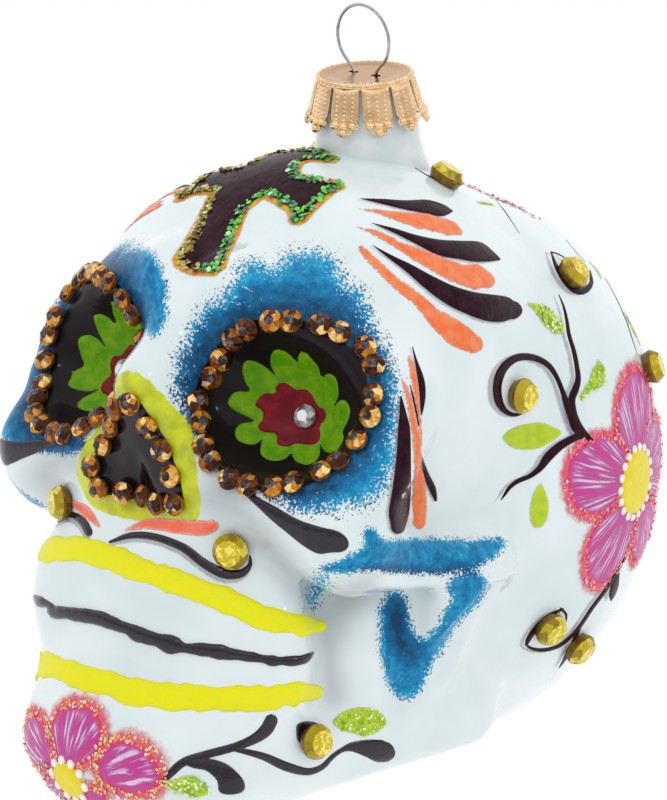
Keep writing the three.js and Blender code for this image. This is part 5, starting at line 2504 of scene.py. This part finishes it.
class Vines:
    """Black scrolls with leaves on the side of the head, the lower cheek and the chin."""

    SCROLL_PIXELS = (
        (
            (528, 411, 1), (515, 415, 4), (505, 411, 6), (499, 402, 9), (497, 388, 9.5), (500, 374, 10),
            (508, 363, 9), (520, 357, 8), (535, 358, 7), (548, 365, 6), (556, 376, 5), (562, 390, 5),
            (566, 402, 7), (571, 415, 9), (576, 428, 10), (582, 434, 8),
        ),
        (
            (559, 295, 1), (564, 308, 2.5), (567, 322, 3.5), (569, 335, 4), (574, 352, 4.5), (577, 368, 5),
            (578, 380, 6), (575, 390, 8), (571.5, 400, 8), (573, 414, 9), (577, 425, 10), (583, 434, 10),
            (591, 440, 5),
        ),
        (
            (582, 434, 9), (572, 439, 8), (560, 446, 9), (548, 457, 10), (540, 468, 7), (530, 476, 5),
            (518, 481, 5), (510, 487, 4), (505, 494, 3), (501, 500, 1),
        ),
        (
            (563, 609, 2), (549, 616, 5), (536, 628, 6), (528, 640, 5), (527, 646, 3), (538, 650, 4),
            (550, 649, 4), (560, 645, 4), (570, 637, 4), (580, 626, 4), (592, 608, 4), (604, 592, 4),
            (614, 576, 4), (625, 558, 3),
        ),
        ((561, 609, 3), (566, 614, 3), (566, 621, 1.5)),
        ((582, 622, 3), (574, 640, 4), (567, 655, 4), (559, 668, 1)),
        ((617, 572, 5), (615, 584, 8), (612, 594, 7), (611, 600, 2)),
        (
            (551, 252, 1.5), (556, 266, 4), (563, 279, 5), (573, 289, 7), (583, 291, 8), (591, 284, 5),
            (590, 270, 1),
        ),
        ((551, 252, 1.5), (558, 254, 1.5), (567, 259, 1)),
    )
    EDGE_PIXELS = (
        ((605, 278, 1), (614, 294, 1.5), (625, 318, 2), (632, 338, 2), (637, 354, 1)),
        ((497, 202, 1), (506, 213, 2), (512, 222, 1.5), (519, 233, 1)),
        ((566, 240, 1), (576, 252, 1.2), (585, 262, 1)),
        ((411, 165, 1), (420, 171, 2), (432, 178, 3), (445, 183, 4), (457, 189, 2)),
    )
    EDGE_LIME_PIXELS = (
        ((476, 202, 2), (482, 203, 5), (490, 204, 5), (496, 206, 2)),
        ((589, 262, 2), (594, 267, 6), (599, 274, 5), (601, 279, 2)),
        ((623, 310, 2), (629, 322, 6), (635, 334, 6), (640, 345, 2)),
    )
    CHIN_PIXELS = (
        (
            (161, 784, 3), (170, 774, 8), (184, 762, 9), (207, 754.5, 9), (234.5, 747, 9), (254, 739, 11),
            (266, 730, 14), (271, 721, 14),
        ),
        (
            (234, 749, 5), (262, 756, 8), (286, 766.5, 10), (307, 771.7, 8), (322, 767, 6), (332, 757, 5),
            (342, 750, 5), (352, 747, 10), (366, 748, 18), (379, 751, 24), (384, 752, 22),
        ),
    )
    LEAF_PIXELS = (
        (
            (502, 437), (512, 428), (525, 424), (540, 422), (552, 426), (562, 433), (545, 446), (530, 450),
            (512, 448),
        ),
        ((540, 483), (546, 492), (549, 505), (547, 520), (540, 528), (532, 526), (529, 512), (532, 496)),
    )
    GLITTER_LEAF_PIXELS = (
        ((527, 303), (540, 304), (552, 312), (561, 322), (564, 331), (556, 334), (545, 327), (536, 314)),
        ((600, 360), (605, 372), (603, 386), (590, 392), (582, 402), (580, 394), (588, 382), (592, 370)),
        ((168, 785), (176, 778), (190, 775), (202, 781), (211, 792), (200, 797), (184, 795), (174, 791)),
        (
            (332, 722), (342, 712), (358, 707), (375, 709), (387, 720), (380, 731), (365, 736), (350, 733),
            (338, 729),
        ),
    )
    CHIN_LEAF_PIXELS = (
        (
            (182, 762), (198, 758), (213, 759), (227, 764), (238, 773), (245, 783), (243, 792), (230, 795),
            (219, 792), (217, 781), (206, 771), (192, 768),
        ),
        ((297, 724), (306, 721), (318, 723), (326, 730), (322, 742), (308, 747), (298, 742), (296, 732)),
    )
    CHIN_SIDE_PIXEL = 200
    SHADOW_PIXELS = (-5.5, 1.0)
    LEAF_COAT = Laying(0.6, 0.1, 0.3, 0.0)
    FLAKES = Glitter(0.3, 0.55)
    FLAKE_COUNT = 90
    FLAKE_DEPTHS = (0.0, 99.0)
    FLAKE_SEED = 3

    def paint(self, work: Paintwork) -> None:
        """Lay scrolls and leaves on both sides, but not the chin's front ones."""
        for rows in self.LEAF_PIXELS:
            work.shape("lime_leaves", LIME, rows, laying=self.LEAF_COAT)
        for rows in self.GLITTER_LEAF_PIXELS:
            sides = work.DRAWN if rows[0][0] < self.CHIN_SIDE_PIXEL else work.BOTH
            outline = work.shape("lime_leaves", LIME, rows, sides, self.LEAF_COAT)
            places = outline.strewn(self.FLAKE_COUNT, *self.FLAKE_DEPTHS, self.FLAKE_SEED)
            work.strew("leaf_flakes", LIME_GLITTER, work.picture, places, self.FLAKES, sides)
        stem, branch = self.CHIN_PIXELS
        leaf, bud = self.CHIN_LEAF_PIXELS
        work.strokes("black_scrolls", BLACK, self.SCROLL_PIXELS, shadow=self.SHADOW_PIXELS)
        work.edge_strokes("black_scrolls", BLACK, self.EDGE_PIXELS)
        work.edge_strokes("edge_leaves", LIME, self.EDGE_LIME_PIXELS)
        work.strokes("chin_scrolls", THICK_BLACK, [stem], work.DRAWN)
        work.strokes("chin_scrolls", THICK_BLACK, [branch])
        work.shape("black_leaves", THICK_BLACK, leaf, work.DRAWN)
        work.shape("black_leaves", THICK_BLACK, bud)


class EyeFlower:
    """A green and crimson flower in each eye socket."""

    MIDDLE_PIXEL = np.array((289.0, 412.0))
    GREEN_PIXELS = (
        (250, 391), (245, 382), (242, 370), (244, 362), (249, 360), (257, 362), (266, 367), (275, 375),
        (271, 367), (270, 358), (273, 351), (279, 349), (287, 352), (293, 357), (297, 362), (298, 356),
        (301, 351), (307, 353), (313, 359), (319, 367), (322, 377), (327, 373), (332, 374), (337, 380),
        (339, 390), (338, 398), (335, 405), (340, 400), (345, 400), (350, 407), (350, 415), (347, 424),
        (343, 431), (344, 439), (340, 447), (335, 453), (328, 453), (322, 449), (320, 444), (320, 455),
        (315, 462), (308, 465), (301, 464), (294, 460), (291, 453), (287, 458), (278, 461), (268, 460),
        (261, 455), (260, 449), (262, 440), (257, 444), (250, 445), (240, 442), (235, 436), (236, 428),
        (242, 423), (254, 421), (245, 416), (235, 411), (228, 405), (228, 400), (233, 393), (240, 391),
    )
    CRIMSON_PIXELS = (
        (275, 393), (275, 387), (280, 382), (287, 382), (293, 386), (298, 389), (305, 388), (311, 391),
        (316, 399), (320, 406), (325, 408), (328, 414), (326, 421), (321, 427), (322, 433), (321, 441),
        (315, 446), (306, 446), (296, 445), (290, 448), (283, 448), (277, 445), (276, 435), (268, 434),
        (260, 432), (257, 426), (262, 420), (262, 411), (255, 407), (256, 401), (261, 395), (268, 392),
    )
    FAR_GROWTH = 1.08
    COATS = (
        ("green_eye_flowers", GREEN, GREEN_PIXELS, Laying(0.6, 0.2, 0.4)),
        ("crimson_eye_flowers", CRIMSON, CRIMSON_PIXELS, Laying(0.6, 0.42, 0.4)),
    )

    def paint(self, work: Paintwork) -> None:
        """Lay both flowers in both sockets.

        Args:
            work: The paintwork that it belongs to.
        """
        for side, growth in ((work.DRAWN, 1.0), (work.OTHER, self.FAR_GROWTH)):
            for name, finish, pixels, coat in self.COATS:
                rows = self.MIDDLE_PIXEL + (np.array(pixels) - self.MIDDLE_PIXEL) * growth
                work.shape(name, finish, rows.tolist(), side, coat)


@dataclass
class Daisy:
    """A flower with a gold heart, white drops round it and streaked petals in a glittered halo.

    Its heart is told by its place in the picture, its petals in millimetres about the heart.
    """

    name: str
    middle_pixel: Tuple[float, float]
    petals: Tuple[Places, ...]
    hidden: Tuple[float, ...]
    reach: float
    width: float
    heart: Tuple[float, float]
    drop: float
    flakes: GlitterFinish
    sides: Sequence[Side]
    root: float = 2.6
    halo: float = 1.7
    petal_rows: int = 22
    bulge_place: float = 0.85
    bulge_power: float = 0.62
    root_half_width: float = 0.25
    arc_share: float = 0.6
    edge_step: float = 0.55
    halo_coat: Laying = Laying(0.7, 0.06, 0.3, 0.0)
    petal_coat: Laying = Laying(0.5, 0.18, 0.35)
    heart_coat: Laying = Laying(0.5, 0.5, 1.0)
    heart_corners: int = 36
    rim_flakes: Glitter = Glitter(0.26, 0.5, 0.24)
    flake_count: int = 190
    flake_depths: Tuple[float, float] = (-0.95, 0.45)
    drop_step: float = 0.2
    drop_spacing: float = 2.7
    drop_ring: float = 1.04
    drop_share: float = 0.6
    drop_rise: float = 0.18

    def told(self, places: Array) -> Values:
        """How far from the heart and beside the petal's middle places lie.

        Args:
            places: Rows of places about the heart.

        Returns:
            Values under "along", from 0 to 1, and "across", in millimetres.
        """
        mean = unit(places.mean(axis=0))
        along = places @ mean
        aside = places @ np.array((-mean[1], mean[0]))
        across = np.arctan2(aside, np.maximum(along, 0.1)) * self.reach * self.arc_share
        return {"along": (along - along.min()) / np.ptp(along), "across": across}

    def hidden_petal(self, degrees: float) -> Array:
        """The outline of a petal that the picture doesn't show, at an angle about the heart."""
        share = np.linspace(0, 1, self.petal_rows)
        bulge = np.sin(math.pi * share**self.bulge_place) ** self.bulge_power
        half = self.width / 2 * bulge + self.root_half_width * (1 - share)
        out = self.root + (self.reach - self.root) * share
        rows = np.vstack((np.column_stack((out, half)), np.column_stack((out, -half))[-2:0:-1]))
        c, s = math.cos(math.radians(degrees)), math.sin(math.radians(degrees))
        return rows @ np.array(((c, s), (-s, c)))

    def paint(self, work: Paintwork) -> None:
        """Lay the flower.

        Args:
            work: The paintwork that it belongs to.
        """
        spot = work.spot([self.middle_pixel])
        rows = [closed_path(petal, self.edge_step) for petal in self.petals]
        rows += [self.hidden_petal(degrees) for degrees in self.hidden]
        for number, outline in enumerate(map(Outline, rows), self.flake_count):
            halo = patch(spot, outline.grown(self.halo), self.halo_coat)
            work.lay(f"{self.name}_halo", BLUSH, [halo], self.sides)
            rim = outline.strewn(number, *self.flake_depths, number)
            work.strew(f"{self.name}_flakes", self.flakes, spot, rim, self.rim_flakes, self.sides)
            petal = patch(spot, outline, self.petal_coat, self.told)
            work.lay(f"{self.name}_petals", PETAL, [petal], self.sides)
        self.lay_heart(work, spot)

    def lay_heart(self, work: Paintwork, spot: SpotSurface) -> None:
        """Lay the heart and the drops round it."""
        oval = circle(self.heart_corners) * self.heart
        heart = patch(spot, Outline(oval), self.heart_coat)
        work.lay(f"{self.name}_hearts", GOLD, [heart], self.sides)
        rim = smooth_path(np.vstack((oval, oval[:1])), self.drop_step)[:-1]
        count = int(len(rim) * self.drop_step / (self.drop_spacing * self.drop))
        steps = np.linspace(0, len(rim), count, endpoint=False).astype(int)
        drops = dots(spot, rim[steps] * self.drop_ring, self.drop, self.drop_share)
        rise = spot.axis * self.drop_rise
        lifted = [Shell(drop.points + rise, drop.faces, drop.spots) for drop in drops]
        work.lay(f"{self.name}_drops", WHITE, lifted, self.sides)


class Mouth:
    """The lumpy mouth line, the yellow stripes along the jaws, the whiskers and the cheek shadows."""

    LINE_PIXELS = (
        (35, 597, 5), (41, 602, 12), (49, 605, 7), (55, 612, 13), (75, 614, 15), (103, 620, 15),
        (125, 628, 13), (138, 634, 15), (158, 640, 14), (170, 645, 20), (177, 646, 17), (185, 648, 11),
        (207, 650, 14), (241, 655.5, 11), (264, 659, 9), (274, 661, 12), (282, 661, 8), (292, 661, 11),
        (304, 659, 10), (313, 653, 3),
    )
    UPPER_PIXELS = (
        (44, 551, 24), (62, 549, 28), (79, 549, 26), (96, 553, 27), (114, 558, 26), (134, 568, 28),
        (153, 574, 24), (172, 580, 27), (193, 588, 24), (234.5, 604.5, 26), (272, 620, 24), (298, 624, 23),
        (318, 626, 16),
    )
    LOWER_PIXELS = (
        (31, 669, 20), (42, 665, 28), (58, 669, 24), (95, 681, 27), (112, 685, 25), (133, 692, 30),
        (152, 694, 27), (172, 697, 28), (219, 699, 26), (240, 699, 28), (269, 698, 26), (296, 693, 23),
        (314, 692, 17),
    )
    CORAL_PIXELS = (
        ((126, 530, 3), (150, 524, 12), (180, 527, 16), (203, 528, 17), (212, 526, 14)),
        ((74, 503, 6), (84, 510, 12), (92, 518, 9), (99, 526, 4)),
    )
    WHISKER_PIXELS = (
        (
            (110, 542, 3), (131, 535.5, 7), (155, 537, 8), (183, 547.6, 9), (203.5, 563, 10),
            (224, 573.5, 11), (241, 573.5, 9), (250, 565, 5), (250, 556, 2),
        ),
        ((58.6, 521.7, 3), (70.7, 514.8, 7), (82.8, 521.7, 9), (88.5, 532, 9)),
    )
    UNDER_EYE_PIXELS = (
        (235, 487), (247, 491), (262, 499), (280, 509), (300, 520), (322, 527), (338, 531), (347, 538),
        (349, 546), (343, 552), (330, 553), (318, 554), (303, 546), (288, 534), (272, 521), (256, 506),
        (243, 494),
    )

    SHADOW_PIXELS = (-1.5, 4.0)
    STRIPE_COAT = Laying(0.5, 0.34, 0.5, 0.06, ragged=0.22)
    LINE_COAT = Laying(0.5, 0.5, 0.5, 0.06, ragged=0.14)

    def paint(self, work: Paintwork) -> None:
        """Lay the lines across the face."""
        stripes = (self.UPPER_PIXELS, self.LOWER_PIXELS)
        work.strokes("yellow_stripes", YELLOW, stripes, work.DRAWN, laying=self.STRIPE_COAT)
        work.strokes("mouth_line", THICK_BLACK, [self.LINE_PIXELS], work.DRAWN, laying=self.LINE_COAT)
        work.strokes("coral_strokes", CORAL, self.CORAL_PIXELS, work.DRAWN)
        work.strokes("whiskers", THICK_BLACK, self.WHISKER_PIXELS, work.DRAWN, self.SHADOW_PIXELS)
        work.shape("under_eye_shapes", THICK_BLACK, self.UNDER_EYE_PIXELS)


class FarFlower:
    """The thin lilac stroke of a flower on the crown, seen edge on."""

    PIXELS = ((462, 183, 2), (478, 190, 3), (497, 199, 4), (515, 206, 4), (535, 218, 2))
    FLAKES = Glitter(0.28, 0.5)
    FLAKE_COUNT = 70
    SPREAD = 0.35

    def paint(self, work: Paintwork) -> None:
        """Lay the stroke and its flakes on both sides."""
        work.edge_strokes("crown_strokes", LILAC, [self.PIXELS])
        work.strew_along(
            "crown_flakes", ROSE_GLITTER, self.PIXELS, self.SPREAD, self.FLAKE_COUNT, self.FLAKES
        )


@dataclass(frozen=True)
class Lamp:
    """A square soft lamp, placed by how far it hangs back to the camera, to its right and up."""

    name: str
    back: float
    right: float
    up: float
    size: float
    watts: float


@dataclass
class Studio:
    """A pale floor, an even white room, soft lamps and the camera, in metres about the hook point."""

    floor_drop: float = 0.32
    floor_reach: float = 6.0
    floor_grey: float = 0.97
    dim: float = 0.55
    bright: float = 1.07
    behind_range: Tuple[float, float] = (-0.2, 0.7)
    above_range: Tuple[float, float] = (0.0, 0.6)
    aim: Tuple[float, float, float] = (0, -0.005, -0.06)
    clip: Tuple[float, float] = (0.01, 50.0)
    lamps: Tuple[Lamp, ...] = (
        Lamp("key_lamp", back=0.5, right=-0.35, up=0.45, size=0.06, watts=0.35),
        Lamp("side_lamp", back=0.35, right=0.6, up=0.2, size=0.06, watts=0.25),
    )

    def floor(self) -> None:
        """Lay the floor far below the ornament."""
        mesh = bpy.data.meshes.new("floor")
        reach, drop = self.floor_reach, -self.floor_drop
        corners = [(x * reach, y * reach, drop) for x, y in ((-1, -1), (1, -1), (1, 1), (-1, 1))]
        mesh.from_pydata(corners, [], [(0, 1, 2, 3)])
        grey = (self.floor_grey, self.floor_grey, self.floor_grey)
        mesh.materials.append(Graph("floor").finish(Base_Color=grey, Roughness=0.9))
        floor = bpy.data.objects.new("floor", mesh)
        bpy.context.scene.collection.objects.link(floor)

    def hang(self, lamp: Lamp, view: PhotoView) -> None:
        """Hang a lamp that looks at the ornament's middle.

        Args:
            lamp: Its place, size and power.
            view: The picture's viewpoint.
        """
        place = Vector(view.back) * lamp.back + Vector(view.right) * lamp.right + Vector((0, 0, lamp.up))
        light = bpy.data.lights.new(lamp.name, "AREA")
        light.shape, light.size, light.energy = "SQUARE", lamp.size, lamp.watts
        hung = bpy.data.objects.new(lamp.name, light)
        hung.location = place
        hung.rotation_euler = (Vector(self.aim) - place).to_track_quat("-Z", "Y").to_euler()
        bpy.context.scene.collection.objects.link(hung)

    def sky(self, view: PhotoView) -> None:
        """Light the room with white, dimmer where it lies low behind the camera.

        Args:
            view: The picture's viewpoint.
        """
        graph = Graph("studio", "worlds")
        way = graph.node("ShaderNodeTexCoord", {}, {}, "Generated")
        behind, above = (
            graph.node("ShaderNodeVectorMath", {"operation": "DOT_PRODUCT"}, {0: way, 1: toward}, "Value")
            for toward in (tuple(-view.back), (0.0, 0.0, 1.0))
        )
        glow = behind.between(*self.behind_range).high(above.between(*self.above_range))
        strength = glow * (self.bright - self.dim) + self.dim
        light = graph.node("ShaderNodeBackground", {}, {"Color": (1.0, 1.0, 1.0), "Strength": strength})
        bpy.context.scene.world = graph.close(light, "ShaderNodeOutputWorld")

    def camera(self, view: PhotoView) -> None:
        """Stand the camera where the picture was taken.

        Args:
            view: The picture's viewpoint.
        """
        data = bpy.data.cameras.new("camera")
        data.sensor_width = view.sensor
        data.lens = view.sensor * view.distance_pixels / view.height_pixels
        data.clip_start, data.clip_end = self.clip
        camera = bpy.data.objects.new("camera", data)
        axes = np.eye(4)
        axes[:3, 0], axes[:3, 1], axes[:3, 2] = view.right, view.up, view.back
        axes[:3, 3] = (view.eye - HOOK_POINT) * METRES_PER_MM
        camera.matrix_world = Matrix(axes.tolist())
        bpy.context.scene.collection.objects.link(camera)
        bpy.context.scene.camera = camera

    def build(self, view: PhotoView) -> None:
        """Set the whole studio up."""
        self.floor()
        self.sky(view)
        for lamp in self.lamps:
            self.hang(lamp, view)
        bpy.context.scene.view_settings.view_transform = "Standard"
        self.camera(view)


SIDE_DAISY = Daisy(
    "side_daisy",
    middle_pixel=(636.0, 482.0),
    petals=(
        (
            (-15.8, 4.4), (-15.0, 6.7), (-12.7, 8.1), (-9.1, 8.5), (-5.5, 7.6), (-3.5, 5.6), (-3.0, 3.0),
            (-3.7, 0.4), (-6.4, -1.4), (-10.0, -2.0), (-13.5, -0.7), (-15.4, 1.6),
        ),
        (
            (-4.5, 9.1), (-3.0, 11.9), (0.4, 13.9), (4.6, 14.3), (8.0, 12.6), (9.4, 9.8), (8.6, 7.1),
            (6.6, 4.5), (3.8, 3.2), (0.2, 3.6), (-2.7, 5.0), (-4.3, 7.1),
        ),
        (
            (-11.0, -9.0), (-11.5, -5.7), (-9.7, -3.1), (-6.2, -1.7), (-2.2, -3.1), (0.1, -6.0),
            (-0.3, -9.1), (-2.7, -11.6), (-5.5, -13.3), (-8.9, -11.9),
        ),
        (
            (0.6, -6.4), (2.5, -4.4), (6.2, -4.0), (9.6, -5.6), (11.4, -8.4), (10.6, -11.2), (8.0, -13.0),
            (4.4, -12.9), (1.4, -10.2),
        ),
    ),
    hidden=(8,),
    reach=15.0,
    width=10.5,
    heart=(4.8, 4.6),
    drop=0.6,
    flakes=ROSE_GLITTER,
    sides=Paintwork.BOTH,
)
CHIN_DAISY = Daisy(
    "chin_daisy",
    middle_pixel=(69.0, 780.0),
    petals=(
        (
            (-3.0, 1.0), (-3.0, 3.4), (-4.8, 5.4), (-7.6, 6.0), (-10.2, 5.2), (-11.8, 3.0), (-11.6, 0.4),
            (-9.8, -1.6), (-7.0, -1.8), (-4.4, -0.4),
        ),
        (
            (-3.4, 3.7), (-4.1, 5.5), (-3.6, 7.4), (-1.9, 8.9), (0.5, 9.7), (2.9, 9.7), (4.9, 8.9),
            (5.9, 7.4), (5.7, 5.6), (4.7, 4.0), (2.2, 2.7), (-1.6, 2.1),
        ),
        (
            (5.6, 3.4), (6.4, 5.3), (7.9, 6.7), (10.1, 7.3), (12.6, 6.6), (14.4, 5.2), (15.3, 3.4),
            (14.6, 1.7), (12.3, 0.9), (9.0, 0.8), (6.3, 1.7),
        ),
    ),
    hidden=(215, 270, 325),
    reach=8.5,
    width=7.0,
    heart=(3.2, 2.6),
    drop=0.65,
    flakes=SUN_GLITTER,
    sides=Paintwork.DRAWN,
)


def main() -> None:
    """Build the ornament and its studio."""
    logging.basicConfig(level=logging.INFO, format="%(name)s %(message)s")
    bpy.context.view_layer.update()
    skull = SkullField(HeadSizes(), SocketSizes(), NoseSizes())
    view = PhotoView()
    SkullSkin(skull, view).build()
    neck, cap, hanger = NeckSizes(), CapSizes(), HangerSizes()
    neck.build()
    cap.build(neck)
    hanger.build(neck, cap.rise)
    Stones(StoneSizes()).build()
    work = Paintwork(skull, view)
    painters = (BrowCross(), Feathers(), TempleStrokes(), Vines(), EyeFlower(), Mouth(), FarFlower())
    for painter in (*painters, SIDE_DAISY, CHIN_DAISY):
        painter.paint(work)
        LOG.info("laid %s", type(painter).__name__)
    work.build()
    Studio().build(view)


if __name__ == "__main__":
    main()
